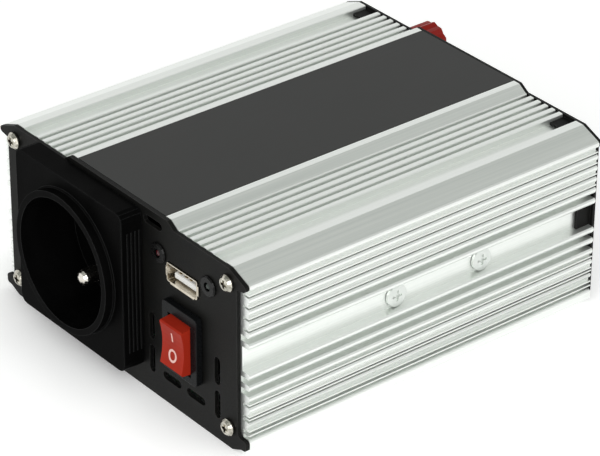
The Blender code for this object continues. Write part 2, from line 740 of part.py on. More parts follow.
def side_points():
    """Fins and grooves down the side: an upper set, a flat band, a lower set and ridges over the foot."""
    points = []
    above = LIP_ROOT
    for top, thickness, count, depth in side_fins():
        points += groove(above, top, count, depth)
        points += fin_face(top, thickness, FIN_REACH, FIN_CHAMFER, FIN_UNDER)
        above = top - thickness
    return points + groove(above, FOOT_TOP, 2, END_GROOVE_DEPTH)


def cavity_half():
    """The hollow inside, round the screw channels and with a slot for the board."""
    rise = ROOF - CEILING
    upper = (BOSS_X, BOSS_UPPER_Z)
    lower = (BOSS_X, BOSS_LOWER_Z)
    ledge = WALL_INNER - LEDGE_DEPTH
    into_roof = math.degrees(math.asin((CEILING - BOSS_UPPER_Z) / BOSS_RADIUS))
    into_wall = math.degrees(math.acos((WALL_INNER - BOSS_X) / BOSS_RADIUS))
    into_ledge = math.degrees(math.acos((ledge - BOSS_X) / BOSS_RADIUS))
    points = [(PLATFORM_HALF - rise / 2, ROOF), (PLATFORM_HALF + rise / 2, CEILING)]
    points += arc(upper, BOSS_RADIUS, 180 - into_roof, 360 - into_wall, BOSS_STEPS)
    slot_edge = SLOT_TOP + LEDGE_THICKNESS
    points += [(WALL_INNER, slot_edge), (ledge, slot_edge), (ledge, SLOT_TOP), (WALL_INNER, SLOT_TOP)]
    points += [(WALL_INNER, LEDGE_TOP), (ledge, LEDGE_TOP)]
    bend = arc(lower, BOSS_RADIUS, into_ledge, BOSS_END_ANGLE, BOSS_STEPS)
    return points + bend + [(bend[-1][0], BASE_WALL)]


def boss_centres():
    return [(sign * BOSS_X, z) for sign in (-1, 1) for z in (BOSS_UPPER_Z, BOSS_LOWER_Z)]


def build_case():
    half = top_points() + lip_points() + side_points() + foot_points()
    outlines = [mirrored(half), mirrored(cavity_half())]
    outlines += [circle(centre, SCREW_HOLE, SMALL_STEPS) for centre in boss_centres()]
    mesh = sheet_mesh("case_extrusion", outlines, -CASE_HALF, CASE_HALF)
    mesh.transform(FACE_FRONT)
    holes = []
    for sign, turn in ((-1, FACE_LEFT), (1, FACE_RIGHT)):
        for y in (CLAMP_SCREW_FRONT, CLAMP_SCREW_REAR):
            place = Matrix.Translation((0, y, CLAMP_SCREW_Z)) @ turn
            holes.append(rod_mesh(SCREW_HOLE, WALL_INNER - LEDGE_DEPTH, HALF_WIDTH, place))
    case = place_part("case_extrusion", mesh, ALUMINIUM)
    add_boolean(case, "DIFFERENCE", merged_mesh("clamp_holes", holes))


def build_label():
    outline = [rounded_rectangle((0, 0), 2 * LABEL_HALF, CASE_LENGTH, FIT)]
    mesh = sheet_mesh("top_label", outline, 0, LABEL_THICKNESS)
    place_part("top_label", mesh, LABEL_FILM, at=(0, 0, LABEL_SEAT + FIT))


# End panels


def panel_top(root):
    slope = [(PLATFORM_HALF, PLATFORM_HEIGHT), (SLOPE_FOOT, RIB_HEIGHT)]
    return slope + lip_points() + [(root, LIP_ROOT)]


def front_half():
    """The front panel's right half, straight down the side, with a hook over the foot."""
    sag = FOOT_FILLET * FILLET_SAG_SHARE
    hook = [(PANEL_SIDE, FOOT_TOP + FOOT_FILLET), (PANEL_SIDE + sag, FOOT_TOP + sag)]
    hook.append((PANEL_SIDE + FOOT_FILLET, FOOT_TOP))
    return panel_top(PANEL_SIDE) + hook + foot_points()


def rear_half():
    """The rear panel's right half, which closes the ends of the side grooves."""
    base = [(REAR_PANEL_SIDE, FOOT_HEIGHT), (FOOT_BEND_X, FOOT_BEND_Z), (BASE_HALF, 0.0)]
    return panel_top(REAR_PANEL_SIDE) + base


def front_vents():
    """Round-ended slots round the switch and one under the panel's upper edge."""
    upright = [(x, z) for x in (VENT_LEFT, VENT_RIGHT) for z in (VENT_UPPER, VENT_LOWER)]
    level = [(VENT_UNDER_LEFT, VENT_UNDER), (VENT_UNDER_RIGHT, VENT_UNDER)]
    slots = [slot((SWITCH_X + x, SWITCH_Z + z), VENT_WIDTH, VENT_LENGTH) for x, z in upright]
    slots += [slot((SWITCH_X + x, SWITCH_Z + z), LEVEL_VENT_LENGTH, VENT_WIDTH) for x, z in level]
    top_vent = (VENT_TOP_X, PLATFORM_HEIGHT - VENT_TOP_DROP)
    return slots + [slot(top_vent, LEVEL_VENT_LENGTH, VENT_WIDTH)]


def panel_mesh(name, half, holes, thickness):
    outlines = [mirrored(half)] + holes
    outlines += [circle(centre, SCREW_HOLE, SMALL_STEPS) for centre in boss_centres()]
    return sheet_mesh(name, outlines, 0, thickness)


def build_front_panel():
    holes = front_vents()
    holes.append(circle((SOCKET_X, SOCKET_Z), WELL_OUTER + FIT, FINE_STEPS))
    holes.append(rounded_rectangle((USB_X, USB_Z), USB_WIDTH + 2 * FIT, USB_TALL + 2 * FIT, 2 * FIT, 1))
    holes += [circle((x, LED_Z), BEZEL_BODY + FIT, SMALL_STEPS) for x in (POWER_LED_X, FAULT_LED_X)]
    body_width = SWITCH_BODY_WIDTH + 2 * FIT
    holes.append(rounded_rectangle((SWITCH_X, SWITCH_Z), body_width, SWITCH_BODY_TALL + 2 * FIT, FIT, 1))
    panel = panel_mesh("front_panel", front_half(), holes, PANEL_THICKNESS)
    place_part("front_panel", panel, PAINT, FACE_FRONT, (0, FRONT_INSIDE, 0))


def grille_slots():
    """Upright slots over the fan's bore, shorter towards its sides."""
    slots = []
    count = int(GRILLE_RADIUS / GRILLE_PITCH)
    for i in range(-count, count + 1):
        offset = i * GRILLE_PITCH
        length = 2 * math.sqrt(GRILLE_RADIUS**2 - offset**2)
        slots.append(slot((FAN_X + offset, FAN_Z), VENT_WIDTH, max(length, 2 * VENT_WIDTH)))
    return slots


def fan_holes():
    return [(u * FAN_HOLE_REACH, v * FAN_HOLE_REACH) for u in (-1, 1) for v in (-1, 1)]


def rear_tabs():
    """Tabs bent from the rear panel into the wide grooves and the side bands."""
    root = REAR_PANEL_THICKNESS / 2
    tip = REAR_PANEL_THICKNESS + FIT + TAB_LENGTH
    groove_seat = RIB_HEIGHT - WIDE_GROOVE_DEPTH + FIT
    groove_outer = WIDE_GROOVE_INNER + WIDE_GROOVE_WIDTH - FIT
    band_seat = BAND_FLOOR + FIT
    band_top = upper_fin_tops()[-1] - FIN_THICKNESS - FIT
    tabs = []
    for sign in (-1, 1):
        across = sorted((sign * (WIDE_GROOVE_INNER + FIT), sign * groove_outer))
        low = (across[0], groove_seat, root)
        tabs.append(box_mesh("tab", low, (across[1], groove_seat + REAR_PANEL_THICKNESS, tip)))
        across = sorted((sign * band_seat, sign * (band_seat + REAR_PANEL_THICKNESS)))
        low = (across[0], LOWER_FIN_TOP + FIT, root)
        tabs.append(box_mesh("tab", low, (across[1], band_top, tip)))
    return tabs


def build_rear_panel():
    holes = grille_slots()
    holes += [circle((POST_X, z), INSULATOR_SLEEVE + FIT) for z in (POSITIVE_Z, NEGATIVE_Z)]
    holes += [circle((FAN_X + u, FAN_Z + v), SCREW_HOLE, SMALL_STEPS) for u, v in fan_holes()]
    sheet = panel_mesh("rear_panel", rear_half(), holes, REAR_PANEL_THICKNESS)
    panel = join(sheet, merged_mesh("tabs", rear_tabs()))
    place_part("rear_panel", panel, PAINT, FACE_FRONT, (0, REAR_FACE, 0))


# Screws


def screw_mesh(name, head, head_height, length, crown=PAN_CROWN, side=PAN_SIDE):
    """A screw along local Z, its head's underside at zero, with a cross recess in the crown."""
    shoulder = (head * crown[0], head_height * crown[1])
    head_points = [(0, head_height), shoulder, (head, head_height * side), (head, 0)]
    profile = head_points + [(SCREW_SHANK, 0), (SCREW_SHANK, -length), (0, -length)]
    mesh = turned_mesh(name, profile, SCREW_STEPS)
    floor = head_height * (1 - RECESS_DEPTH_SHARE)
    arm = head * RECESS_SHARE
    half = RECESS_WIDTH / 2
    first = box_mesh("recess", (-arm, -half, floor), (arm, half, 2 * head_height))
    second = box_mesh("recess", (-half, -arm, floor), (half, arm, 2 * head_height))
    return cut(mesh, join(first, second))


def build_panel_screws():
    mesh = screw_mesh("panel_screw", SCREW_HEAD, SCREW_HEAD_HEIGHT, SCREW_LENGTH)
    names = ("upper_left", "lower_left", "upper_right", "lower_right")
    for name, (x, z) in zip(names, boss_centres()):
        front = (x, FRONT_FACE - FIT, z)
        rear = (x, REAR_FACE + FIT, z)
        place_part("front_panel_screw_" + name, mesh, NICKEL, FACE_FRONT, front, SMOOTH_ANGLE)
        place_part("rear_panel_screw_" + name, mesh, NICKEL, FACE_REAR, rear, SMOOTH_ANGLE)


def build_clamp_screws():
    sizes = (CLAMP_HEAD, CLAMP_HEAD_HEIGHT, CLAMP_SCREW_LENGTH)
    mesh = screw_mesh("clamp_screw", *sizes, FLAT_CROWN, FLAT_SIDE)
    for side, sign, turn in (("left", -1, FACE_LEFT), ("right", 1, FACE_RIGHT)):
        for end, y in (("front", CLAMP_SCREW_FRONT), ("rear", CLAMP_SCREW_REAR)):
            at = (sign * (BAND_FLOOR + FIT), y, CLAMP_SCREW_Z)
            place_part(f"clamp_screw_{side}_{end}", mesh, NICKEL, turn, at, SMOOTH_ANGLE)


# Mains socket


def build_socket():
    """A block on the panel, a collared round well through it, two contact holes and an earth pin."""
    bowl = [(0, SOCKET_FLOOR), (WELL_RADIUS, SOCKET_FLOOR), (WELL_RADIUS, SOCKET_RIM)]
    bowl.append((WELL_OUTER, SOCKET_RIM))
    flare = [(WELL_OUTER, SOCKET_FACE + COLLAR_FLARE), (WELL_OUTER + COLLAR_FLARE, SOCKET_FACE - FIT)]
    barrel = [(WELL_OUTER, SOCKET_FACE - SOCKET_BLOCK / 2), (WELL_OUTER, SOCKET_BACK), (0, SOCKET_BACK)]
    shell = turned_mesh("socket_housing", bowl + flare + barrel, FINE_STEPS)
    block_outline = rounded_rectangle((0, 0), SOCKET_WIDTH, SOCKET_TALL, SOCKET_CORNER)
    seat = circle((0, 0), WELL_RADIUS + WELL_WALL / 2, FINE_STEPS)
    block = rounded(sheet_mesh("block", [block_outline, seat], FIT, SOCKET_FACE), SOCKET_EDGE, 2)
    at = (SOCKET_X, FRONT_FACE, SOCKET_Z)
    housing = place_part("socket_housing", shell, BLACK_PLASTIC, FACE_FRONT, at, FINE_SMOOTH_ANGLE)
    add_boolean(housing, "UNION", block)
    spread = CONTACT_SPACING / 2
    drills = [(-spread, 0, CONTACT_HOLE), (spread, 0, CONTACT_HOLE), (0, -EARTH_OFFSET, EARTH_RADIUS + FIT)]
    bores = []
    for u, v, radius in drills:
        place = Matrix.Translation((u, v, 0))
        bores.append(rod_mesh(radius, SOCKET_BACK - WELL_FLOOR, SOCKET_FLOOR + WELL_FLOOR, place))
    add_boolean(housing, "DIFFERENCE", merged_mesh("contact_bores", bores))

    tip = SOCKET_FLOOR + EARTH_LENGTH
    seat_height = SOCKET_FLOOR + FIT
    nose = arc((0, tip - EARTH_RADIUS), EARTH_RADIUS, 90, 0, DOME_STEPS)
    collar_top = seat_height + EARTH_COLLAR_HEIGHT
    stem = [(EARTH_RADIUS, collar_top), (EARTH_COLLAR, collar_top), (EARTH_COLLAR, seat_height)]
    tail_end = SOCKET_BACK - EARTH_TAIL
    tail = [(EARTH_RADIUS, seat_height), (EARTH_RADIUS, tail_end), (0, tail_end)]
    pin = turned_mesh("socket_earth_pin", nose + stem + tail, SMALL_STEPS)
    pin_at = (SOCKET_X, FRONT_FACE, SOCKET_Z - EARTH_OFFSET)
    place_part("socket_earth_pin", pin, NICKEL, FACE_FRONT, pin_at, SMOOTH_ANGLE)

    top = SOCKET_BACK - FIT
    sleeve = [(CONTACT_RADIUS, top), (CONTACT_RADIUS, top - CONTACT_LENGTH)]
    sleeve += [(CONTACT_BORE, top - CONTACT_LENGTH), (CONTACT_BORE, top)]
    contact = turned_mesh("socket_contact", sleeve, SMALL_STEPS, closed=True)
    for name, sign in (("left", -1), ("right", 1)):
        contact_at = (SOCKET_X + sign * spread, FRONT_FACE, SOCKET_Z)
        place_part("socket_contact_" + name, contact, BRASS, FACE_FRONT, contact_at, SMOOTH_ANGLE)


# Charging port


def usb_lips():
    """The shell's turned-out lips, two at the sides and one under it, as corner pairs across and up."""
    side_end = USB_TALL / 2 - USB_LIP_INSET
    under_end = USB_WIDTH / 2 - USB_LIP_INSET
    inner = USB_WIDTH / 2 - USB_WALL / 2
    outer = USB_WIDTH / 2 + USB_LIP
    left = ((-outer, -side_end), (-inner, side_end))
    right = ((inner, -side_end), (outer, side_end))
    under = ((-under_end, -USB_TALL / 2 - USB_LIP), (under_end, -USB_TALL / 2 + USB_WALL / 2))
    return left, right, under


def build_usb():
    centre = (0, 0)
    outer = rounded_rectangle(centre, USB_WIDTH, USB_TALL, USB_CORNER, 2)
    hollow_width = USB_WIDTH - 2 * USB_WALL
    hollow_tall = USB_TALL - 2 * USB_WALL
    inner = rounded_rectangle(centre, hollow_width, hollow_tall, USB_CORNER - USB_WALL, 1)
    back = USB_PROUD - USB_LENGTH
    shell = sheet_mesh("usb_shell", [outer, inner], back, USB_PROUD)
    lips = [box_mesh("lip", (*low, USB_LIP_BACK), (*high, USB_LIP_FRONT)) for low, high in usb_lips()]
    at = (USB_X, FRONT_FACE, USB_Z)
    shell = place_part("usb_shell", shell, NICKEL, FACE_FRONT, at)
    add_boolean(shell, "UNION", merged_mesh("lips", lips))

    block_low = (-hollow_width / 2 + FIT, -hollow_tall / 2 + FIT, back)
    block_high = (hollow_width / 2 - FIT, hollow_tall / 2 - FIT, back + TONGUE_BASE)
    block = box_mesh("usb_tongue", block_low, block_high)
    tongue_low = (-TONGUE_WIDTH / 2, TONGUE_LIFT - TONGUE_THICKNESS / 2, back + TONGUE_BASE / 2)
    tongue_high = (TONGUE_WIDTH / 2, TONGUE_LIFT + TONGUE_THICKNESS / 2, USB_PROUD - TONGUE_RECESS)
    tongue = place_part("usb_tongue", block, WHITE_PLASTIC, FACE_FRONT, at)
    blade = rounded(box_mesh("blade", tongue_low, tongue_high), TONGUE_ROUNDING, 2)
    add_boolean(tongue, "UNION", blade)

    board_top = -USB_TALL / 2 - FIT
    board_low = (-USB_BOARD_WIDTH / 2, board_top - USB_BOARD_THICKNESS, back - USB_BOARD_OVERHANG)
    board_high = (USB_BOARD_WIDTH / 2, board_top, -PANEL_THICKNESS - FIT)
    place_part("usb_board", box_mesh("usb_board", board_low, board_high), BOARD_GREEN, FACE_FRONT, at)


# Indicator lamps


def build_lamps():
    bore = LED_RADIUS + FIT
    flange = [(bore, BEZEL_PROUD), (BEZEL_RADIUS - BEZEL_EDGE, BEZEL_PROUD), (BEZEL_RADIUS, BEZEL_PROUD / 2)]
    flange += [(BEZEL_RADIUS, FIT), (BEZEL_BODY, FIT), (BEZEL_BODY, -BEZEL_LENGTH), (bore, -BEZEL_LENGTH)]
    bezel = turned_mesh("led_bezel", flange, SMALL_STEPS, closed=True)
    dome = arc((0, BEZEL_PROUD - LED_RADIUS), LED_RADIUS, 90, 0, DOME_STEPS)
    lamp = turned_mesh("led", dome + [(LED_RADIUS, -LED_LENGTH), (0, -LED_LENGTH)], SMALL_STEPS)
    for name, x, colour in (("power", POWER_LED_X, GREEN_LENS), ("fault", FAULT_LED_X, RED_LENS)):
        at = (x, FRONT_FACE, LED_Z)
        place_part(name + "_led_bezel", bezel, BLACK_PLASTIC, FACE_FRONT, at, SMOOTH_ANGLE)
        place_part(name + "_led", lamp.copy(), colour, FACE_FRONT, at, SMOOTH_ANGLE)


# Rocker switch


def build_switch():
    """A frame on the panel, a body behind it with a well, and a rocker on two side pins."""
    outline = rounded_rectangle((0, 0), SWITCH_FRAME_WIDTH, SWITCH_FRAME_TALL, SWITCH_FRAME_CORNER)
    frame = rounded(sheet_mesh("switch_housing", [outline], FIT, SWITCH_FRAME_FRONT), SWITCH_FRAME_EDGE, 2)
    at = (SWITCH_X, FRONT_FACE, SWITCH_Z)
    housing = place_part("switch_housing", frame, GLOSS_BLACK, FACE_FRONT, at)
    half_width = SWITCH_BODY_WIDTH / 2
    half_tall = SWITCH_BODY_TALL / 2
    body_top = FIT + SWITCH_FRAME_PROUD / 2
    body_low = (-half_width, -half_tall, -SWITCH_BODY_DEPTH)
    add_boolean(housing, "UNION", box_mesh("body", body_low, (half_width, half_tall, body_top)))
    well_bottom = -ROCKER_DROP - ROCKER_OPENING_TALL / 2
    well_top = well_bottom + ROCKER_OPENING_TALL
    well_low = (-ROCKER_OPENING_WIDTH / 2, well_bottom, SWITCH_FRAME_FRONT - ROCKER_WELL_DEPTH)
    well_high = (ROCKER_OPENING_WIDTH / 2, well_top, SWITCH_FRAME_FRONT + SWITCH_FRAME_PROUD)
    add_boolean(housing, "DIFFERENCE", box_mesh("well", well_low, well_high))
    pivot_height = SWITCH_FRAME_FRONT - ROCKER_PIVOT_DEPTH
    across = Matrix.Translation((0, -ROCKER_DROP, pivot_height)) @ FACE_RIGHT
    pin_hole = rod_mesh(ROCKER_PIN_RADIUS + FIT, -half_width - FIT, half_width + FIT, across)
    add_boolean(housing, "DIFFERENCE", pin_hole)

    pivot = (SWITCH_X, ROCKER_PIVOT_Y, SWITCH_Z - ROCKER_DROP)
    place_part("switch_rocker", rocker_mesh(), ROCKER_RED, FACE_UP, pivot, FINE_SMOOTH_ANGLE)

    blade_back = -SWITCH_BODY_DEPTH - FIT - TERMINAL_LENGTH
    blade_low = (-TERMINAL_WIDTH / 2, -TERMINAL_THICKNESS / 2, blade_back)
    blade_high = (TERMINAL_WIDTH / 2, TERMINAL_THICKNESS / 2, -SWITCH_BODY_DEPTH - FIT)
    blade = box_mesh("switch_terminal", blade_low, blade_high)
    for name, sign in (("upper", 1), ("lower", -1)):
        terminal_at = (SWITCH_X, FRONT_FACE, SWITCH_Z + sign * TERMINAL_SPACING / 2)
        place_part("switch_terminal_" + name, blade, BRASS, FACE_FRONT, terminal_at)


def rocker_mesh():
    """A side profile in depth and height about the pivot, extruded across, with a pin at each side."""
    face = ROCKER_PIVOT_DEPTH + ROCKER_END_PROUD
    shoulder = math.degrees(math.acos(ROCKER_HALF_LENGTH / ROCKER_SWING_RADIUS))
    skirt = math.degrees(math.asin(ROCKER_SKIRT / ROCKER_SWING_RADIUS))
    edge = ROCKER_HALF_LENGTH - ROCKER_DRAFT
    crest = edge - ROCKER_EDGE
    end = arc((0, 0), ROCKER_SWING_RADIUS, -skirt, shoulder, ROCKER_END_STEPS) + [(edge, face - ROCKER_EDGE)]
    dip = []
    for i in range(ROCKER_DIP_STEPS + 1):
        along = 1 - 2 * i / ROCKER_DIP_STEPS
        dip.append((crest * along, face - ROCKER_DIP * (1 - along**2)))
    left_end = [(-v, u) for v, u in reversed(end)]
    profile = end + dip + left_end + [(-ROCKER_BACK_HALF, -ROCKER_BACK), (ROCKER_BACK_HALF, -ROCKER_BACK)]
    body = sheet_mesh("switch_rocker", [profile], -ROCKER_WIDTH / 2, ROCKER_WIDTH / 2)
    pin_reach = ROCKER_OPENING_WIDTH / 2 + ROCKER_PIN_GRIP
    body = join(body, rod_mesh(ROCKER_PIN_RADIUS, -pin_reach, pin_reach, Matrix.Identity(4)))
    body.transform(Matrix(((0, 0, 1, 0), (0, -1, 0, 0), (1, 0, 0, 0), (0, 0, 0, 1))))
    return body


# Battery terminals


def battery_posts():
    return (("positive", POSITIVE_Z, KNOB_RED), ("negative", NEGATIVE_Z, BLACK_PLASTIC))


def knob_outline():
    points = []
    count = KNOB_FLUTES * KNOB_FLUTE_POINTS
    for i in range(count):
        angle = 2 * math.pi * i / count
        radius = KNOB_RADIUS - KNOB_FLUTE_DEPTH * (1 - math.cos(KNOB_FLUTES * angle)) / 2
        points.append((radius * math.cos(angle), radius * math.sin(angle)))
    return points


def knob_mesh():
    """A fluted knob with a rounded end and a blind bore, its inner face at zero."""
    mesh = rounded(sheet_mesh("terminal_knob", [knob_outline()], 0, KNOB_LENGTH), KNOB_ROUNDING)
    bore = rod_mesh(STUD_BORE, -KNOB_LENGTH, KNOB_LENGTH - KNOB_CAP, Matrix.Identity(4))
    return cut(mesh, bore)


def build_terminals():
    seat = FIT + INSULATOR_THICKNESS
    inside = -REAR_PANEL_THICKNESS
    collar = [(STUD_BORE, seat), (INSULATOR_RADIUS, seat), (INSULATOR_RADIUS, FIT), (INSULATOR_SLEEVE, FIT)]
    collar += [(INSULATOR_SLEEVE, inside), (STUD_BORE, inside)]
    insulator = turned_mesh("post_insulator", collar, ROUND_STEPS, closed=True)

    inner_end = inside - STUD_INNER_LENGTH
    flange_top = FLANGE_SEAT + STUD_FLANGE_THICKNESS
    shaft = [(0, STUD_END), (STUD_RADIUS - STUD_CHAMFER, STUD_END), (STUD_RADIUS, STUD_END - STUD_CHAMFER)]
    shaft += [(STUD_RADIUS, flange_top), (STUD_FLANGE, flange_top), (STUD_FLANGE, FLANGE_SEAT)]
    shaft += [(STUD_RADIUS, FLANGE_SEAT), (STUD_RADIUS, inner_end), (0, inner_end)]
    stud = turned_mesh("terminal_stud", shaft, SMALL_STEPS)

    hole = circle((0, 0), STUD_BORE, SMALL_STEPS)
    washer = sheet_mesh("terminal_washer", [circle((0, 0), WASHER_RADIUS), hole], 0, WASHER_THICKNESS)
    nut_seat = inside - FIT
    hexagon = [circle((0, 0), NUT_RADIUS, 6), hole]
    nut = sheet_mesh("terminal_nut", hexagon, nut_seat - NUT_THICKNESS, nut_seat)
    knob = knob_mesh()

    for name, z, plastic in battery_posts():
        at = (POST_X, REAR_FACE, z)
        place_part(name + "_insulator", insulator.copy(), plastic, FACE_REAR, at, SMOOTH_ANGLE)
        place_part(name + "_stud", stud, BRASS, FACE_REAR, at, SMOOTH_ANGLE)
        place_part(name + "_nut", nut, NICKEL, FACE_REAR, at)
        place_part(name + "_washer", washer, NICKEL, FACE_REAR, (POST_X, REAR_FACE + WASHER_SEAT, z))
        knob_at = (POST_X, REAR_FACE + KNOB_SEAT, z)
        place_part(name + "_knob", knob.copy(), plastic, FACE_REAR, knob_at, SMOOTH_ANGLE)


# Cooling fan


def build_fan():
    """A square frame with struts to a stator, and a bladed cup that turns round it."""
    holes = [circle((0, 0), FAN_BORE, ROUND_STEPS)]
    holes += [circle(centre, SCREW_HOLE, SMALL_STEPS) for centre in fan_holes()]
    square = rounded_rectangle((0, 0), FAN_SIZE, FAN_SIZE, FAN_CORNER)
    at = (FAN_X, FAN_FRONT, FAN_Z)
    shell = sheet_mesh("fan_frame", [square] + holes, 0, FAN_DEPTH)
    frame = place_part("fan_frame", shell, BLACK_PLASTIC, FACE_REAR, at)
    spider = rod_mesh(FAN_HUB, 0, FAN_STRUT_THICKNESS, Matrix.Identity(4), ROUND_STEPS)
    for i in range(FAN_STRUT_COUNT):
        turn = Matrix.Rotation(2 * math.pi * i / FAN_STRUT_COUNT, 4, "Z")
        low = (0, -FAN_STRUT_WIDTH / 2, 0)
        strut = box_mesh("strut", low, (FAN_BORE + FIT, FAN_STRUT_WIDTH / 2, FAN_STRUT_THICKNESS))
        strut.transform(turn)
        spider = join(spider, strut)
    add_boolean(frame, "UNION", spider)

    bearing = FAN_SHAFT + FIT
    ring = [(bearing, STATOR_TOP), (STATOR_RADIUS, STATOR_TOP)]
    ring += [(STATOR_RADIUS, STATOR_BASE), (bearing, STATOR_BASE)]
    stator = turned_mesh("fan_stator", ring, ROUND_STEPS, closed=True)
    place_part("fan_stator", stator, COPPER, FACE_REAR, at, SMOOTH_ANGLE)
    build_rotor(at)

    screw = screw_mesh("fan_screw", SCREW_HEAD, SCREW_HEAD_HEIGHT, FAN_SCREW_LENGTH)
    for name, sign in (("upper", 1), ("lower", -1)):
        screw_at = (FAN_X - sign * FAN_HOLE_REACH, REAR_FACE + FIT, FAN_Z + sign * FAN_HOLE_REACH)
        place_part("fan_screw_" + name, screw, NICKEL, FACE_REAR, screw_at, SMOOTH_ANGLE)


def build_rotor(at):
    """The hub cup with its shaft, and the blades round it."""
    roof = STATOR_TOP + 2 * FIT
    top = roof + FAN_HUB_WALL
    inside = FAN_HUB - FAN_HUB_WALL
    low = STATOR_BASE + FIT
    profile = [(0, top), (FAN_HUB, top), (FAN_HUB, low), (inside, low), (inside, roof), (FAN_SHAFT, roof)]
    cup = turned_mesh("fan_rotor", profile + [(FAN_SHAFT, STATOR_BASE), (0, STATOR_BASE)], ROUND_STEPS)
    blades = []
    tip = FAN_BORE - FAN_TIP_GAP
    middle = (low + top) / 2
    for i in range(FAN_BLADE_COUNT):
        half_chord = FAN_BLADE_CHORD / 2
        half = FAN_BLADE_THICKNESS / 2
        blade = box_mesh("blade", (FAN_HUB - FAN_HUB_WALL / 2, -half_chord, -half), (tip, half_chord, half))
        pitch = Matrix.Rotation(math.radians(FAN_BLADE_ANGLE), 4, "X")
        spin = Matrix.Rotation(2 * math.pi * i / FAN_BLADE_COUNT, 4, "Z")
        blade.transform(spin @ Matrix.Translation((0, 0, middle)) @ pitch)
        blades.append(blade)
    rotor = place_part("fan_rotor", cup, BLACK_PLASTIC, FACE_REAR, at, SMOOTH_ANGLE)
    add_boolean(rotor, "UNION", merged_mesh("blades", blades))


# Main board and its pieces


def can_mesh(name, radius, height):
    """A capacitor can with a rolled groove near its foot and rounded rims."""
    rim = [(0, height), (radius - CAN_ROUNDING, height), (radius, height - CAN_ROUNDING)]
    groove_top = (radius, CAN_GROOVE_HEIGHT + CAN_GROOVE)
    groove = [groove_top, (radius - CAN_GROOVE, CAN_GROOVE_HEIGHT), (radius, CAN_GROOVE_HEIGHT - CAN_GROOVE)]
    return turned_mesh(name, rim + groove + [(radius, 0), (0, 0)], SMALL_STEPS)


def build_board():
    half = WALL_INNER - FIT
    board = box_mesh("main_board", (-half, BOARD_FRONT, BOARD_BOTTOM), (half, BOARD_REAR, BOARD_TOP))
    place_part("main_board", board, BOARD_GREEN)
    bus = can_mesh("bus_capacitor", BUS_CAPACITOR_RADIUS, BUS_CAPACITOR_HEIGHT)
    bus_at = (BUS_CAPACITOR_X, BUS_CAPACITOR_Y, BOARD_SEAT)
    place_part("bus_capacitor", bus, CAN_BLACK, at=bus_at, smooth=SMOOTH_ANGLE)
    smaller = can_mesh("input_capacitor", INPUT_CAPACITOR_RADIUS, INPUT_CAPACITOR_HEIGHT)
    smaller_at = (INPUT_CAPACITOR_X, INPUT_CAPACITOR_Y, BOARD_SEAT)
    place_part("input_capacitor", smaller, CAN_BLACK, at=smaller_at, smooth=SMOOTH_ANGLE)
    ring = circle((CHOKE_RADIUS, 0), CHOKE_SECTION, CHOKE_FACETS)
    choke = turned_mesh("output_choke", ring, SMALL_STEPS, closed=True)
    choke_at = (CHOKE_X, CHOKE_Y, BOARD_SEAT + CHOKE_SECTION)
    place_part("output_choke", choke, COPPER, at=choke_at, smooth=ROUND_SMOOTH_ANGLE)


def build_transformer():
    """A shell core with a centre leg, and the winding round that leg."""
    half_leg = CORE_LEG / 2
    window_u = half_leg + CORE_WINDOW_WIDTH / 2
    middle = BOARD_SEAT + CORE_HEIGHT / 2
    outlines = [rounded_rectangle((0, 0), CORE_WIDTH, CORE_HEIGHT, FIT, 1)]
    for sign in (-1, 1):
        window = (sign * window_u, 0)
        outlines.append(rounded_rectangle(window, CORE_WINDOW_WIDTH, CORE_WINDOW_HEIGHT, FIT, 1))
    core = sheet_mesh("transformer_core", outlines, -CORE_DEPTH / 2, CORE_DEPTH / 2)
    place_part("transformer_core", core, FERRITE, FACE_FRONT, (CORE_X, CORE_Y, middle))
    hole_width = CORE_LEG + 2 * FIT
    hole_depth = CORE_DEPTH + 2 * FIT
    build = CORE_WINDOW_WIDTH - WINDING_GAP
    outer = rounded_rectangle((0, 0), hole_width + 2 * build, hole_depth + 2 * build, WINDING_CORNER)
    ring = [outer, rounded_rectangle((0, 0), hole_width, hole_depth, FIT, 1)]
    half_height = CORE_WINDOW_HEIGHT / 2 - FIT
    winding = sheet_mesh("transformer_winding", ring, -half_height, half_height)
    place_part("transformer_winding", winding, TAPE, at=(CORE_X, CORE_Y, middle))


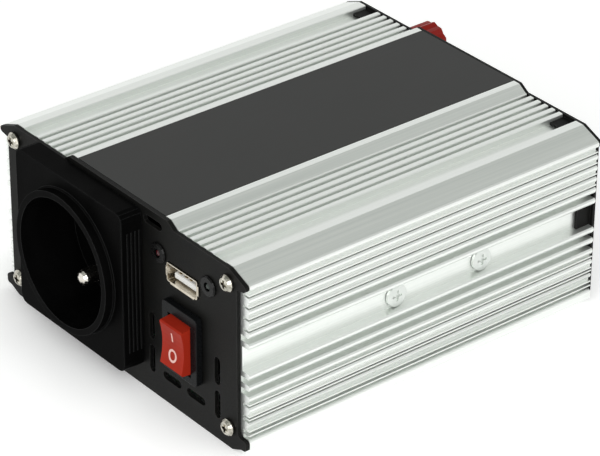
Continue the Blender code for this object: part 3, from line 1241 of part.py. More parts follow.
def build_transistors():
    """Packages against the side walls, pressed there by a bar on the two clamp screws."""
    top = CLAMP_SCREW_Z + TRANSISTOR_TALL / 2
    bottom = top - TRANSISTOR_TALL
    half = TRANSISTOR_WIDTH / 2
    body = box_mesh("transistor", (TRANSISTOR_INNER, -half, bottom), (TRANSISTOR_OUTER, half, top))
    leg_x = (TRANSISTOR_INNER + TRANSISTOR_OUTER) / 2
    legs = []
    for i in (-1, 0, 1):
        y = i * TRANSISTOR_LEG_PITCH
        low = (leg_x - TRANSISTOR_LEG_THICKNESS / 2, y - TRANSISTOR_LEG_WIDTH / 2, BOARD_SEAT)
        high = (leg_x + TRANSISTOR_LEG_THICKNESS / 2, y + TRANSISTOR_LEG_WIDTH / 2, CLAMP_SCREW_Z)
        legs.append(box_mesh("leg", low, high))
    right = join(body, merged_mesh("legs", legs))
    bar_half = CLAMP_BAR_TALL / 2
    bar_low = (CLAMP_BAR_INNER, CLAMP_SCREW_FRONT - CLAMP_BAR_END, CLAMP_SCREW_Z - bar_half)
    bar_high = (CLAMP_BAR_OUTER, CLAMP_SCREW_REAR + CLAMP_BAR_END, CLAMP_SCREW_Z + bar_half)
    bar = box_mesh("clamp_bar", bar_low, bar_high)
    holes = []
    for y in (CLAMP_SCREW_FRONT, CLAMP_SCREW_REAR):
        place = Matrix.Translation((0, y, CLAMP_SCREW_Z)) @ FACE_RIGHT
        holes.append(rod_mesh(SCREW_HOLE, CLAMP_BAR_INNER - FIT, CLAMP_BAR_OUTER + FIT, place))
    bar = cut(bar, merged_mesh("bar_holes", holes))
    half_turn = Matrix.Rotation(math.pi, 4, "Z")
    middle = (CLAMP_SCREW_FRONT + CLAMP_SCREW_REAR) / 2
    step = half + TRANSISTOR_GAP / 2
    for side, turn, slide in (("left", half_turn, 2 * middle), ("right", FACE_UP, 0)):
        for end, sign in (("front", -1), ("rear", 1)):
            place_part(f"transistor_{side}_{end}", right, PACKAGE_BLACK, turn, (0, middle + sign * step, 0))
        place_part(f"clamp_bar_{side}", bar, STEEL, turn, (0, slide, 0))


def build_leads():
    """Battery leads from the inner ends of the studs down to the board."""
    start = REAR_INSIDE - STUD_INNER_LENGTH - FIT
    for (name, z, material), sign in zip(battery_posts(), (1, -1)):
        landing = (POST_X + sign * LEAD_X_STEP, start - LEAD_RUN, BOARD_SEAT)
        route = lead_route((POST_X, start, z), landing)
        place_part(name + "_lead", lead_mesh(name + "_lead", route), material, smooth=ROUND_SMOOTH_ANGLE)


def lead_route(start, end):
    """Points that leave the stud along -Y, bend, and land on the board from above."""
    span = start[1] - end[1] - LEAD_STRAIGHT
    drop = start[2] - end[2] - LEAD_STRAIGHT
    points = [start]
    for i in range(LEAD_STEPS + 1):
        turn = math.pi / 2 * i / LEAD_STEPS
        share = 1 - math.cos(turn)
        x = start[0] + (end[0] - start[0]) * share
        y = start[1] - LEAD_STRAIGHT - span * math.sin(turn)
        points.append((x, y, start[2] - drop * share))
    return points + [end]


def lead_mesh(name, points):
    curve = bpy.data.curves.new(name, "CURVE")
    curve.dimensions = "3D"
    curve.bevel_depth = LEAD_RADIUS
    curve.bevel_resolution = 2
    curve.use_fill_caps = True
    spline = curve.splines.new("POLY")
    spline.points.add(len(points) - 1)
    for point, place in zip(spline.points, points):
        point.co = (*place, 1.0)
    guide = bpy.data.objects.new(name, curve)
    bpy.context.scene.collection.objects.link(guide)
    mesh = mesh_from(guide)
    bpy.data.objects.remove(guide, do_unlink=True)
    return mesh


clear_scene()
PARTS = new_collection("power_inverter")
CUTTERS = new_collection("cutters")
ROOT = bpy.data.objects.new("power_inverter_origin", None)
PARTS.objects.link(ROOT)

ALUMINIUM = new_material("anodised_aluminium", (0.72, 0.73, 0.71), 0.35, 0.9)
PAINT = new_material("black_paint", (0.02, 0.02, 0.02), 0.5)
LABEL_FILM = new_material("label_film", (0.05, 0.05, 0.05), 0.45)
BLACK_PLASTIC = new_material("black_plastic", (0.02, 0.021, 0.021), 0.45)
GLOSS_BLACK = new_material("gloss_black_plastic", (0.015, 0.016, 0.018), 0.25)
WHITE_PLASTIC = new_material("white_plastic", (0.8, 0.79, 0.75), 0.5)
ROCKER_RED = new_material("red_rocker", (0.45, 0.045, 0.02), 0.35)
KNOB_RED = new_material("red_knob", (0.32, 0.02, 0.015), 0.4)
NICKEL = new_material("nickel", (0.66, 0.63, 0.58), 0.25, 1.0)
BRASS = new_material("brass", (0.7, 0.55, 0.25), 0.3, 1.0)
STEEL = new_material("steel", (0.5, 0.5, 0.5), 0.4, 1.0)
COPPER = new_material("copper", (0.7, 0.32, 0.16), 0.35, 1.0)
GREEN_LENS = new_material("green_lens", (0.08, 0.16, 0.1), 0.2)
RED_LENS = new_material("red_lens", (0.2, 0.02, 0.02), 0.2)
BOARD_GREEN = new_material("board_green", (0.02, 0.12, 0.05), 0.5)
CAN_BLACK = new_material("capacitor_sleeve", (0.02, 0.02, 0.03), 0.4)
FERRITE = new_material("ferrite", (0.06, 0.06, 0.065), 0.7)
TAPE = new_material("winding_tape", (0.7, 0.55, 0.08), 0.5)
PACKAGE_BLACK = new_material("transistor_package", (0.03, 0.03, 0.03), 0.6)

build_case()
build_label()
build_front_panel()
build_rear_panel()
build_panel_screws()
build_clamp_screws()
build_socket()
build_usb()
build_lamps()
build_switch()
build_terminals()
build_fan()
build_board()
build_transformer()
build_transistors()
build_leads()
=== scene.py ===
"""Looks for the power inverter: finishes, small details, floor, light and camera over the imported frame.

Metres, +Z up. The front panel faces -Y and the origin is the centre of the case's underside.
"""

import math

import bmesh
import bpy
from mathutils import Matrix, Vector
from mathutils.bvhtree import BVHTree


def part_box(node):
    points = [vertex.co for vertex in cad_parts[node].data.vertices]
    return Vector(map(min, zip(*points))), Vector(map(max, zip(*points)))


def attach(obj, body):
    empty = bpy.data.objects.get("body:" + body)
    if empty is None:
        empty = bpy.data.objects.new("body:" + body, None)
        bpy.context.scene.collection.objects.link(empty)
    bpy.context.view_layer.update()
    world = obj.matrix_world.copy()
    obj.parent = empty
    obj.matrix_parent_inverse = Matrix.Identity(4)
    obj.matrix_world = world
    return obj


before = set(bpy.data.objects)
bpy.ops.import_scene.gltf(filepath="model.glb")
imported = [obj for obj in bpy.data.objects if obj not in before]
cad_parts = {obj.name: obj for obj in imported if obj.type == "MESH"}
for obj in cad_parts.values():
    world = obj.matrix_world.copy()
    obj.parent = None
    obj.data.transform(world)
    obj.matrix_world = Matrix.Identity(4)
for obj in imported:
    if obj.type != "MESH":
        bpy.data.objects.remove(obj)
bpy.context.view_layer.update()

MM = 0.001
WHITE = (1.0, 1.0, 1.0)

# Camera, solved from the case's edges in the photograph
CAMERA_AT = (0.6003, -0.48685, 0.4769)
CAMERA_LENS = 191.13
CAMERA_SENSOR = 36.0
CAMERA_AZIMUTH = 50.96
CAMERA_ELEVATION = 30.48
CAMERA_ROLL = 0.37

# Floor
FLOOR_SIZE = 8.0
FLOOR_DROP = 0.1 * MM
FLOOR_COLOUR = (0.98, 0.98, 0.98)
FLOOR_GLOW = 0.36

# Painted soft shadow on the floor, made by ambient occlusion: how far it reaches and the direction its
# light is taken to come from
SHADE_REACH = 20 * MM
SHADE_LIGHT = (0.8, 0.2, 0.56)
SHADE_SAMPLES = 16

# Studio: its colours and the sines of the elevations between which they change
SKY_LOW = WHITE
SKY_HIGH = (0.385, 0.405, 0.385)
SKY_LOW_END = 0.52
SKY_HIGH_START = 0.72

# Soft box, in watts and metres
KEY_POWER = 1.3
KEY_SIZE = 0.35
KEY_AT = (0.36, -0.34, 0.30)
KEY_TOWARDS = (0.05, -0.05, 0.03)

# Rocker marks: a bar and a ring, placed above and below the rocker's middle
MARK_THICKNESS = 0.05 * MM
MARK_LIFT = 0.02 * MM
BAR_RISE = 3.15 * MM
BAR_TALL = 2.8 * MM
BAR_WIDE = 0.5 * MM
BAR_STEPS = 8
RING_DROP = 2.6 * MM
RING_TALL = 3.9 * MM
RING_WIDE = 3.5 * MM
RING_STROKE = 0.65 * MM
RING_STEPS = 32

# Charging port's contacts on the tongue
CONTACT_PLACES = (-3.5 * MM, -1.0 * MM, 1.0 * MM, 3.5 * MM)
CONTACT_WIDE = 1.0 * MM
CONTACT_LONG = 6.5 * MM
CONTACT_THICK = 0.12 * MM
CONTACT_EDGE = CONTACT_THICK / 3
CONTACT_SETBACK = 0.6 * MM

# Upright ribs on the socket block's sides
SOCKET_RIB_COUNT = 4
SOCKET_RIB_PITCH = 1.3 * MM
SOCKET_RIB_WIDE = 0.5 * MM
SOCKET_RIB_EDGE = SOCKET_RIB_WIDE / 4
SOCKET_RIB_PROUD = 0.1 * MM
SOCKET_RIB_MARGIN = 6.0 * MM

# Bevels of small boxes
BEVEL_SEGMENTS = 2
ROUND_PROFILE = 0.5

# Values between which a noise texture mostly stays
NOISE_LOW = 0.3
NOISE_HIGH = 0.7

# Radians that Blender's wave texture turns in one unit of its own space, and how uneven its ridges are
WAVE_RADIANS = 20.0
WAVE_DISTORTION = 0.3

# Edges: the dot product of the face's and the softened normal at a full edge and on a flat
EDGE_FULL = 0.86
EDGE_NONE = 0.995
EDGE_SAMPLES = 4

# Recesses: the open share of what a point sees at the bottom of one and in the open
RECESS_DEEP = 0.25
RECESS_OPEN = 0.75
RECESS_SAMPLES = 8
# Colour of the painted shade deep in recesses
RECESS_SHADE = (0.02, 0.018, 0.015)

# Places of the Mix node's colour sockets
MIX_SHARE = 0
MIX_FIRST = 6
MIX_SECOND = 7
MIX_RESULT = 2

# Metal: scratches and patches of tarnish
SCRATCH_SIZE = 0.25 * MM
SCRATCH_STRETCH = (1, 6, 1)
SCRATCH_DEPTH = 0.004 * MM
TARNISH_SIZE = 3 * MM

# Moulded plastic: spark texture, flow marks and edges
SPARK_SIZE = 0.35 * MM
SPARK_DEPTH = 0.008 * MM
FLOW_SIZE = 8 * MM
FLOW_STRETCH = (1, 1, 3)
MOULDED_EDGE = 0.3 * MM
PLASTIC_SPECULAR = 0.25


# Finishes


class Finish:
    """A Principled material whose detail comes from nodes placed by the piece's own coordinates."""

    def __init__(self, name, metallic=0.0, specular=0.5):
        self.material = bpy.data.materials.new(name)
        self.material.use_nodes = True
        self.nodes = self.material.node_tree.nodes
        self.links = self.material.node_tree.links
        self.shader = self.nodes["Principled BSDF"]
        self.set("Metallic", metallic)
        self.set("Specular IOR Level", specular)
        self.place = self.node("TexCoord", {}).outputs["Object"]

    def node(self, kind, inputs, **settings):
        """A shader node with its settings made and its sockets fed."""
        made = self.nodes.new("ShaderNode" + kind)
        for name, value in settings.items():
            setattr(made, name, value)
        for socket, value in inputs.items():
            self.feed(made.inputs[socket], value)
        return made

    def feed(self, socket, value):
        """Links a socket to an output, or gives it a constant."""
        if isinstance(value, bpy.types.NodeSocket):
            self.links.new(value, socket)
        elif socket.type == "RGBA":
            socket.default_value = (*value, 1.0)
        else:
            socket.default_value = value

    def set(self, socket, value):
        self.feed(self.shader.inputs[socket], value)

    def spread(self, size, stretch=(1, 1, 1)):
        """The piece's coordinates counted in a size in metres, drawn out along an axis by its stretch."""
        scale = [1 / (size * s) for s in stretch]
        return self.node("Mapping", {"Vector": self.place, "Scale": scale}).outputs[0]

    def noise(self, size, stretch=(1, 1, 1), detail=3.0):
        """Noise with features of a size in metres."""
        place = self.spread(size, stretch)
        made = self.node("TexNoise", {"Vector": place, "Scale": 1.0, "Detail": detail})
        return made.outputs["Fac"]

    def bands(self, size, direction):
        """Ridges a size in metres apart along one axis."""
        place = self.spread(size)
        turns = 2 * math.pi / WAVE_RADIANS
        made = self.node(
            "TexWave",
            {"Vector": place, "Scale": turns, "Distortion": WAVE_DISTORTION},
            bands_direction=direction,
        )
        return made.outputs["Fac"]

    def between(self, value, low, high, start=NOISE_LOW, end=NOISE_HIGH):
        """A number that goes from low to high as the value goes from start to end."""
        made = self.node(
            "MapRange",
            {"Value": value, "From Min": start, "From Max": end, "To Min": low, "To Max": high},
        )
        return made.outputs[0]

    def ramp(self, value, dark, light, start=NOISE_LOW, end=NOISE_HIGH):
        """A colour that goes from dark to light as the value goes from start to end."""
        made = self.node("ValToRGB", {"Fac": value})
        steps = made.color_ramp.elements
        for step, position, colour in zip(steps, (start, end), (dark, light)):
            step.position = position
            step.color = (*colour, 1.0)
        return made.outputs["Color"]

    def mix(self, share, first, second):
        """The first colour, going over to the second as the share goes from zero to one."""
        inputs = {MIX_SHARE: share, MIX_FIRST: first, MIX_SECOND: second}
        return self.node("Mix", inputs, data_type="RGBA").outputs[MIX_RESULT]

    def edges(self, radius):
        """One at edges sharper than the radius shows, and zero on flats."""
        bevel = self.node("Bevel", {"Radius": radius}, samples=EDGE_SAMPLES)
        face = self.node("NewGeometry", {}).outputs["Normal"]
        dot = self.node("VectorMath", {0: bevel.outputs[0], 1: face}, operation="DOT_PRODUCT")
        return self.between(dot.outputs["Value"], 1.0, 0.0, EDGE_FULL, EDGE_NONE)

    def recess(self, reach):
        """One deep in a recess narrower than the reach, and zero in the open."""
        made = self.node("AmbientOcclusion", {"Distance": reach}, samples=RECESS_SAMPLES, only_local=True)
        return self.between(made.outputs["AO"], 1.0, 0.0, RECESS_DEEP, RECESS_OPEN)

    def bump(self, value, depth):
        made = self.node("Bump", {"Height": value, "Distance": depth, "Strength": 1.0})
        self.set("Normal", made.outputs[0])


def case_aluminium():
    """Satin anodised extrusion: die lines along its length, cloudy sheen, painted highlights on its edges.
    """
    finish = Finish("satin_aluminium", metallic=0.85, specular=0.3)
    lines = finish.noise(size=0.35 * MM, stretch=(1, 300, 1), detail=4.0)
    cloud = finish.noise(size=12 * MM, stretch=(1, 5, 1))
    tone = finish.ramp(lines, dark=(0.83, 0.86, 0.83), light=(0.92, 0.94, 0.91))
    dull = finish.mix(finish.between(cloud, low=0.0, high=0.25), tone, (0.80, 0.83, 0.80))
    # Painted highlight: edges found by the Bevel node go over to a brighter tone.
    bright = (0.92, 0.94, 0.91)
    finish.set("Base Color", finish.mix(finish.edges(radius=0.3 * MM), dull, bright))
    finish.set("Roughness", finish.between(lines, low=0.30, high=0.42))
    finish.bump(lines, depth=0.006 * MM)
    return finish.material


def black_paint():
    """Satin powder paint: fine orange peel, faint mottle, edges lighter from rubbed wear and a painted
    highlight.
    """
    finish = Finish("black_powder_paint", specular=0.085)
    peel = finish.noise(size=0.45 * MM, detail=2.0)
    mottle = finish.noise(size=9 * MM)
    tone = finish.ramp(mottle, dark=(0.005, 0.005, 0.005), light=(0.007, 0.007, 0.006))
    # Edges found by the Bevel node go lighter: rubbed wear and a painted highlight.
    edge_wear_and_highlight = (0.035, 0.035, 0.034)
    finish.set("Base Color", finish.mix(finish.edges(radius=0.25 * MM), tone, edge_wear_and_highlight))
    finish.set("Roughness", finish.between(peel, low=0.42, high=0.55))
    finish.bump(peel, depth=0.012 * MM)
    return finish.material


def label_film():
    """Charcoal film with a faint brushed grain along the case."""
    finish = Finish("charcoal_film", specular=0.18)
    grain = finish.noise(size=0.3 * MM, stretch=(1, 60, 1))
    cloud = finish.noise(size=30 * MM)
    tone = finish.ramp(grain, dark=(0.023, 0.024, 0.023), light=(0.031, 0.032, 0.030))
    faded = (0.034, 0.034, 0.032)
    finish.set("Base Color", finish.mix(finish.between(cloud, low=0.0, high=0.3), tone, faded))
    finish.set("Roughness", finish.between(grain, low=0.38, high=0.48))
    finish.bump(grain, depth=0.004 * MM)
    return finish.material


def plated(name, dark, light, roughness, metallic=1.0, patch=TARNISH_SIZE, recess_shade_reach=None):
    """Plated or bare metal: fine scratches, tarnish in patches, and painted shade in recesses where asked.
    """
    finish = Finish(name, metallic=metallic)
    scratch = finish.noise(SCRATCH_SIZE, SCRATCH_STRETCH)
    tone = finish.ramp(finish.noise(patch), dark, light)
    # Painted shade: the tone darkens deep in recesses, found by ambient occlusion.
    if recess_shade_reach:
        tone = finish.mix(finish.recess(recess_shade_reach), tone, RECESS_SHADE)
    finish.set("Base Color", tone)
    finish.set("Roughness", finish.between(scratch, *roughness))
    finish.bump(scratch, SCRATCH_DEPTH)
    return finish.material


def moulded(name, dark, light, roughness, depth=SPARK_DEPTH, specular=PLASTIC_SPECULAR, edge=None):
    """Moulded plastic: a fine spark texture, faint flow marks and painted highlights on edges where asked.
    """
    finish = Finish(name, specular=specular)
    spark = finish.noise(SPARK_SIZE, detail=2.0)
    flow = finish.noise(FLOW_SIZE, FLOW_STRETCH)
    tone = finish.ramp(flow, dark, light)
    # Painted highlight: edges found by the Bevel node go over to the given lighter colour.
    if edge:
        tone = finish.mix(finish.edges(MOULDED_EDGE), tone, edge)
    finish.set("Base Color", tone)
    finish.set("Roughness", finish.between(spark, *roughness))
    finish.bump(spark, depth)
    return finish.material


def lens(name, dark, light):
    """A small moulded lamp: tinted, glossy and a little cloudy."""
    finish = Finish(name, specular=0.3)
    haze = finish.noise(size=0.8 * MM)
    finish.set("Base Color", finish.ramp(haze, dark, light))
    finish.set("Roughness", finish.between(haze, low=0.06, high=0.14))
    finish.set("Coat Weight", 0.3)
    finish.set("Coat Roughness", 0.04)
    return finish.material


def board_laminate():
    """Green solder mask with copper tracks showing paler through it."""
    finish = Finish("board_laminate")
    weave = finish.noise(size=0.5 * MM)
    place = finish.spread(size=3.2 * MM)
    cells = finish.node("TexVoronoi", {"Vector": place, "Scale": 1.0}, distance="CHEBYCHEV")
    track = finish.between(cells.outputs["Distance"], low=0.0, high=1.0, start=0.42, end=0.46)
    mask = finish.ramp(weave, dark=(0.006, 0.060, 0.022), light=(0.010, 0.085, 0.030))
    finish.set("Base Color", finish.mix(track, mask, (0.03, 0.14, 0.05)))
    finish.set("Roughness", finish.between(weave, low=0.25, high=0.4))
    finish.bump(track, depth=0.03 * MM)
    return finish.material


def wound(name, dark, light, pitch, direction, metallic=0.0):
    """Turns of wire or tape side by side."""
    finish = Finish(name, metallic=metallic)
    turns = finish.bands(pitch, direction)
    worn = finish.noise(size=2 * MM)
    tone = finish.ramp(turns, dark, light, start=0.0, end=0.6)
    finish.set("Base Color", finish.mix(finish.between(worn, low=0.0, high=0.3), tone, dark))
    finish.set("Roughness", finish.between(worn, low=0.28, high=0.45))
    finish.bump(turns, depth=0.15 * MM)
    return finish.material


def mark_ink():
    """Pale pad-printed ink, a little thin in places."""
    finish = Finish("mark_ink", specular=0.4)
    thin = finish.noise(size=0.25 * MM)
    tone = finish.ramp(thin, dark=(0.62, 0.34, 0.30), light=(0.80, 0.50, 0.45), start=0.25, end=0.6)
    finish.set("Base Color", tone)
    finish.set("Roughness", finish.between(thin, low=0.35, high=0.5))
    return finish.material


def floor_finish():
    """White where the floor lies open, with a painted soft shadow, by ambient occlusion, on the side of
    the object away from SHADE_LIGHT.
    """
    finish = Finish("floor", specular=0.0)
    finish.set("Base Color", FLOOR_COLOUR)
    finish.set("Roughness", 1.0)
    light = finish.node("CombineXYZ", dict(zip("XYZ", Vector(SHADE_LIGHT).normalized())))
    shade = finish.node(
        "AmbientOcclusion",
        {"Distance": SHADE_REACH, "Normal": light.outputs[0]},
        samples=SHADE_SAMPLES,
    )
    rays = finish.node("LightPath", {}).outputs
    seen = finish.node("Math", {0: rays["Is Camera Ray"], 1: shade.outputs["AO"]}, operation="MULTIPLY")
    for kind in ("Is Glossy Ray", "Is Transmission Ray"):
        seen = finish.node("Math", {0: seen.outputs[0], 1: rays[kind]}, operation="MAXIMUM")
    glow = finish.node("Math", {0: seen.outputs[0], 1: FLOOR_GLOW}, operation="MULTIPLY")
    finish.set("Emission Color", WHITE)
    finish.set("Emission Strength", glow.outputs[0])
    return finish.material


NICKEL = plated("bright_nickel", (0.62, 0.58, 0.52), (0.80, 0.77, 0.71), roughness=(0.14, 0.28))
BRASS = plated("turned_brass", (0.60, 0.42, 0.16), (0.74, 0.55, 0.24), roughness=(0.18, 0.32))
STEEL = plated("zinc_steel", (0.50, 0.52, 0.53), (0.66, 0.67, 0.66), roughness=(0.28, 0.42))
BRIGHT_ZINC = plated(
    "bright_zinc", (0.67, 0.70, 0.67), (0.73, 0.76, 0.73), roughness=(0.30, 0.40), metallic=0.85
)
# Dark and light patches under a millimetre across: partly tarnish, partly a painted contrast of dark and
# bright reflections on the heads; shade is painted in the cross recesses.
SCREW_NICKEL = plated(
    "screw_nickel",
    (0.26, 0.25, 0.21),
    (0.70, 0.67, 0.59),
    roughness=(0.12, 0.24),
    patch=0.9 * MM,
    recess_shade_reach=0.8 * MM,
)
# Shade is painted deep inside the port's shell.
USB_NICKEL = plated(
    "usb_nickel", (0.58, 0.52, 0.42), (0.74, 0.68, 0.58), roughness=(0.16, 0.3), recess_shade_reach=4 * MM
)

BLACK_PLASTIC = moulded(
    "black_plastic", (0.010, 0.011, 0.011), (0.016, 0.017, 0.017), roughness=(0.40, 0.55)
)
# Its lighter edge colour is a painted highlight along rims and edges.
SOCKET_PLASTIC = moulded(
    "socket_plastic",
    (0.0015, 0.0015, 0.0015),
    (0.003, 0.003, 0.003),
    roughness=(0.36, 0.5),
    specular=0.01,
    edge=(0.03, 0.031, 0.031),
)
TONGUE_WHITE = moulded("tongue_white", (0.66, 0.66, 0.64), (0.76, 0.76, 0.74), roughness=(0.35, 0.5))
LAMP_BEZEL = moulded(
    "lamp_bezel", (0.003, 0.003, 0.003), (0.005, 0.005, 0.005), roughness=(0.22, 0.34), specular=0.15
)
SWITCH_FRAME = moulded(
    "switch_frame", (0.004, 0.0045, 0.005), (0.006, 0.0065, 0.007), roughness=(0.24, 0.34), specular=0.08
)
ROCKER_RED = moulded(
    "rocker_red", (0.30, 0.018, 0.008), (0.36, 0.024, 0.010), roughness=(0.30, 0.40), specular=0.06
)
TERMINAL_RED = moulded(
    "terminal_red", (0.27, 0.010, 0.006), (0.35, 0.015, 0.009), roughness=(0.3, 0.42), specular=0.15
)
TERMINAL_BLACK = moulded(
    "terminal_black", (0.009, 0.009, 0.009), (0.014, 0.014, 0.014), roughness=(0.3, 0.42)
)
CORE_FERRITE = moulded(
    "core_ferrite", (0.030, 0.030, 0.032), (0.055, 0.055, 0.058), roughness=(0.5, 0.7), depth=0.03 * MM
)
CAPACITOR_SLEEVE = moulded(
    "capacitor_sleeve", (0.010, 0.014, 0.030), (0.018, 0.024, 0.048), roughness=(0.25, 0.35)
)
PACKAGE_EPOXY = moulded(
    "package_epoxy", (0.010, 0.010, 0.010), (0.017, 0.017, 0.016), roughness=(0.5, 0.65)
)

STATOR_COPPER = wound(
    "stator_copper", (0.42, 0.13, 0.05), (0.78, 0.36, 0.18), pitch=0.5 * MM, direction="Y", metallic=1.0
)
WINDING_TAPE = wound("winding_tape", (0.52, 0.33, 0.02), (0.74, 0.52, 0.05), pitch=6.0 * MM, direction="Z")
CHOKE_WIRE = wound(
    "choke_wire", (0.40, 0.12, 0.04), (0.76, 0.34, 0.16), pitch=1.1 * MM, direction="X", metallic=1.0
)

# Which finish each CAD node takes, by the words in its name, the first that fits
NODE_FINISHES = (
    ("case_extrusion", case_aluminium()),
    ("top_label", label_film()),
    ("clamp_screw", BRIGHT_ZINC),
    ("panel_screw", SCREW_NICKEL),
    ("screw", NICKEL),
    ("panel", black_paint()),
    ("socket_housing", SOCKET_PLASTIC),
    ("earth_pin", NICKEL),
    ("socket_contact", BRASS),
    ("usb_shell", USB_NICKEL),
    ("usb_tongue", TONGUE_WHITE),
    ("board", board_laminate()),
    ("bezel", LAMP_BEZEL),
    ("power_led", lens("power_lens", (0.010, 0.016, 0.013), (0.022, 0.032, 0.027))),
    ("fault_led", lens("fault_lens", (0.030, 0.002, 0.004), (0.060, 0.004, 0.007))),
    ("switch_housing", SWITCH_FRAME),
    ("switch_rocker", ROCKER_RED),
    ("switch_terminal", BRASS),
    ("stud", BRASS),
    ("nut", NICKEL),
    ("washer", NICKEL),
    ("positive_", TERMINAL_RED),
    ("negative_", TERMINAL_BLACK),
    ("fan_stator", STATOR_COPPER),
    ("fan_", BLACK_PLASTIC),
    ("core", CORE_FERRITE),
    ("winding", WINDING_TAPE),
    ("choke", CHOKE_WIRE),
    ("capacitor", CAPACITOR_SLEEVE),
    ("transistor", PACKAGE_EPOXY),
    ("clamp_bar", STEEL),
)


def dress_nodes():
    """Gives each CAD node its finish."""
    for name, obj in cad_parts.items():
        finish = next(finish for words, finish in NODE_FINISHES if words in name)
        obj.data.materials.clear()
        obj.data.materials.append(finish)


# Pieces


def add_piece(name, shape, finish, body):
    """A mesh from a bmesh, linked, finished and riding on a body."""
    bmesh.ops.recalc_face_normals(shape, faces=shape.faces)
    mesh = bpy.data.meshes.new(name)
    shape.to_mesh(mesh)
    shape.free()
    mesh.materials.append(finish)
    piece = bpy.data.objects.new(name, mesh)
    bpy.context.scene.collection.objects.link(piece)
    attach(piece, body)


def surface(node):
    """A CAD node's mesh, ready for rays."""
    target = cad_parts[node].data
    return BVHTree.FromPolygons([v.co for v in target.vertices], [p.vertices for p in target.polygons])


def draped_strip(name, rows, closed, node, finish, body):
    """A thin strip laid from the front onto a node's face, through rows of paired points in X and Z."""
    tree = surface(node)
    low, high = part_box(node)
    start = low.y - (high.y - low.y)
    shape = bmesh.new()
    loops = []
    for row in rows:
        hits = [tree.ray_cast(Vector((x, start, z)), Vector((0, 1, 0)))[0] for x, z in row]
        under = [hit - Vector((0, MARK_LIFT, 0)) for hit in hits]
        over = [point - Vector((0, MARK_THICKNESS, 0)) for point in reversed(under)]
        loops.append([shape.verts.new(point) for point in under + over])
    following = loops[1:] + loops[:1] if closed else loops[1:]
    for here, there in zip(loops, following):
        for k in range(len(here)):
            shape.faces.new((here[k - 1], here[k], there[k], there[k - 1]))
    if not closed:
        shape.faces.new(loops[0])
        shape.faces.new(loops[-1])
    add_piece(name, shape, finish, body)


def rocker_marks():
    """The on bar and the off ring, printed on the rocker's dished face."""
    ink = mark_ink()
    low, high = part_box("switch_rocker")
    middle_x = (low.x + high.x) / 2
    middle_z = (low.z + high.z) / 2
    rows = []
    for i in range(BAR_STEPS + 1):
        z = middle_z + BAR_RISE + BAR_TALL * (0.5 - i / BAR_STEPS)
        rows.append(((middle_x - BAR_WIDE / 2, z), (middle_x + BAR_WIDE / 2, z)))
    draped_strip("rocker_mark_bar", rows, False, "switch_rocker", ink, "switch_rocker")
    rows = []
    for i in range(RING_STEPS):
        angle = 2 * math.pi * i / RING_STEPS
        pair = []
        for inset in (0, RING_STROKE):
            x = middle_x + (RING_WIDE / 2 - inset) * math.cos(angle)
            z = middle_z - RING_DROP + (RING_TALL / 2 - inset) * math.sin(angle)
            pair.append((x, z))
        rows.append(pair)
    draped_strip("rocker_mark_ring", rows, True, "switch_rocker", ink, "switch_rocker")


def bevelled_box(shape, low, high, edge):
    """A box with softened edges, added to a bmesh."""
    made = bmesh.ops.create_cube(shape, size=1.0)["verts"]
    size = [b - a for a, b in zip(low, high)]
    middle = [(a + b) / 2 for a, b in zip(low, high)]
    place = Matrix.Translation(middle) @ Matrix.Diagonal((*size, 1))
    bmesh.ops.transform(shape, verts=made, matrix=place)
    borders = list({side for corner in made for side in corner.link_edges})
    bmesh.ops.bevel(
        shape,
        geom=borders,
        offset=edge,
        segments=BEVEL_SEGMENTS,
        affect="EDGES",
        profile=ROUND_PROFILE,
    )


def port_contacts():
    """Four spring contacts along the top of the charging port's tongue."""
    low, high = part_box("usb_tongue")
    middle = (low.x + high.x) / 2
    front = low.y + CONTACT_SETBACK
    back = front + CONTACT_LONG
    above = Vector((middle, (front + back) / 2, high.z + CONTACT_LONG))
    blade_top = surface("usb_tongue").ray_cast(above, Vector((0, 0, -1)))[0].z
    for i, place in enumerate(CONTACT_PLACES):
        shape = bmesh.new()
        start = (middle + place - CONTACT_WIDE / 2, front, blade_top)
        end = (middle + place + CONTACT_WIDE / 2, back, blade_top + CONTACT_THICK)
        bevelled_box(shape, start, end, CONTACT_EDGE)
        add_piece(f"usb_contact_{i + 1}", shape, BRASS, "case")


def socket_ribs():
    """Fine upright ribs moulded on the two sides of the socket block."""
    low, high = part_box("socket_housing")
    panel_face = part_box("front_panel")[0].y
    for side, x in (("left", low.x), ("right", high.x)):
        shape = bmesh.new()
        for i in range(SOCKET_RIB_COUNT):
            y = panel_face - (i + 1) * SOCKET_RIB_PITCH
            start = (x - SOCKET_RIB_PROUD, y - SOCKET_RIB_WIDE / 2, low.z + SOCKET_RIB_MARGIN)
            end = (x + SOCKET_RIB_PROUD, y + SOCKET_RIB_WIDE / 2, high.z - SOCKET_RIB_MARGIN)
            bevelled_box(shape, start, end, SOCKET_RIB_EDGE)
        add_piece(f"socket_ribs_{side}", shape, SOCKET_PLASTIC, "case")


# Floor, light and camera


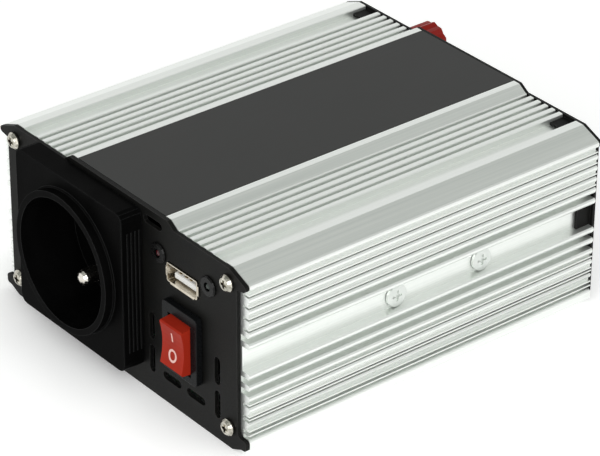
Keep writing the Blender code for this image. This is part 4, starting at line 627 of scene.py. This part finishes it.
def add_floor():
    """A wide plain floor under the object."""
    shape = bmesh.new()
    bmesh.ops.create_grid(shape, x_segments=1, y_segments=1, size=FLOOR_SIZE / 2)
    mesh = bpy.data.meshes.new("floor")
    shape.to_mesh(mesh)
    shape.free()
    mesh.materials.append(floor_finish())
    floor = bpy.data.objects.new("floor", mesh)
    floor.location.z = -FLOOR_DROP
    bpy.context.scene.collection.objects.link(floor)


def add_sky():
    """A studio that is bright round its walls and dimmer overhead."""
    world = bpy.data.worlds.new("studio")
    world.use_nodes = True
    nodes = world.node_tree.nodes
    links = world.node_tree.links
    direction = nodes.new("ShaderNodeTexCoord").outputs["Generated"]
    height = nodes.new("ShaderNodeSeparateXYZ")
    links.new(direction, height.inputs[0])
    ramp = nodes.new("ShaderNodeValToRGB")
    lower, upper = ramp.color_ramp.elements
    lower.position = SKY_LOW_END
    lower.color = (*SKY_LOW, 1.0)
    upper.position = SKY_HIGH_START
    upper.color = (*SKY_HIGH, 1.0)
    links.new(height.outputs["Z"], ramp.inputs["Fac"])
    links.new(ramp.outputs["Color"], nodes["Background"].inputs["Color"])
    bpy.context.scene.world = world


def add_key():
    """A broad soft box at the front right."""
    data = bpy.data.lights.new("key", "AREA")
    data.energy = KEY_POWER
    data.size = KEY_SIZE
    key = bpy.data.objects.new("key", data)
    key.location = KEY_AT
    key.rotation_euler = (Vector(KEY_AT) - Vector(KEY_TOWARDS)).to_track_quat("Z", "Y").to_euler()
    bpy.context.scene.collection.objects.link(key)


def add_camera():
    """The photograph's viewpoint."""
    data = bpy.data.cameras.new("camera")
    data.lens = CAMERA_LENS
    data.sensor_width = CAMERA_SENSOR
    camera = bpy.data.objects.new("camera", data)
    azimuth = math.radians(CAMERA_AZIMUTH)
    elevation = math.radians(CAMERA_ELEVATION)
    level = math.cos(elevation)
    back = Vector((math.sin(azimuth) * level, -math.cos(azimuth) * level, math.sin(elevation)))
    turn = back.to_track_quat("Z", "Y").to_matrix().to_4x4()
    roll = Matrix.Rotation(math.radians(CAMERA_ROLL), 4, "Z")
    camera.matrix_world = Matrix.Translation(CAMERA_AT) @ turn @ roll
    bpy.context.scene.collection.objects.link(camera)
    bpy.context.scene.camera = camera


bpy.context.scene.view_settings.view_transform = "Standard"
add_camera()
dress_nodes()
rocker_marks()
port_contacts()
socket_ribs()
add_floor()
add_sky()
add_key()
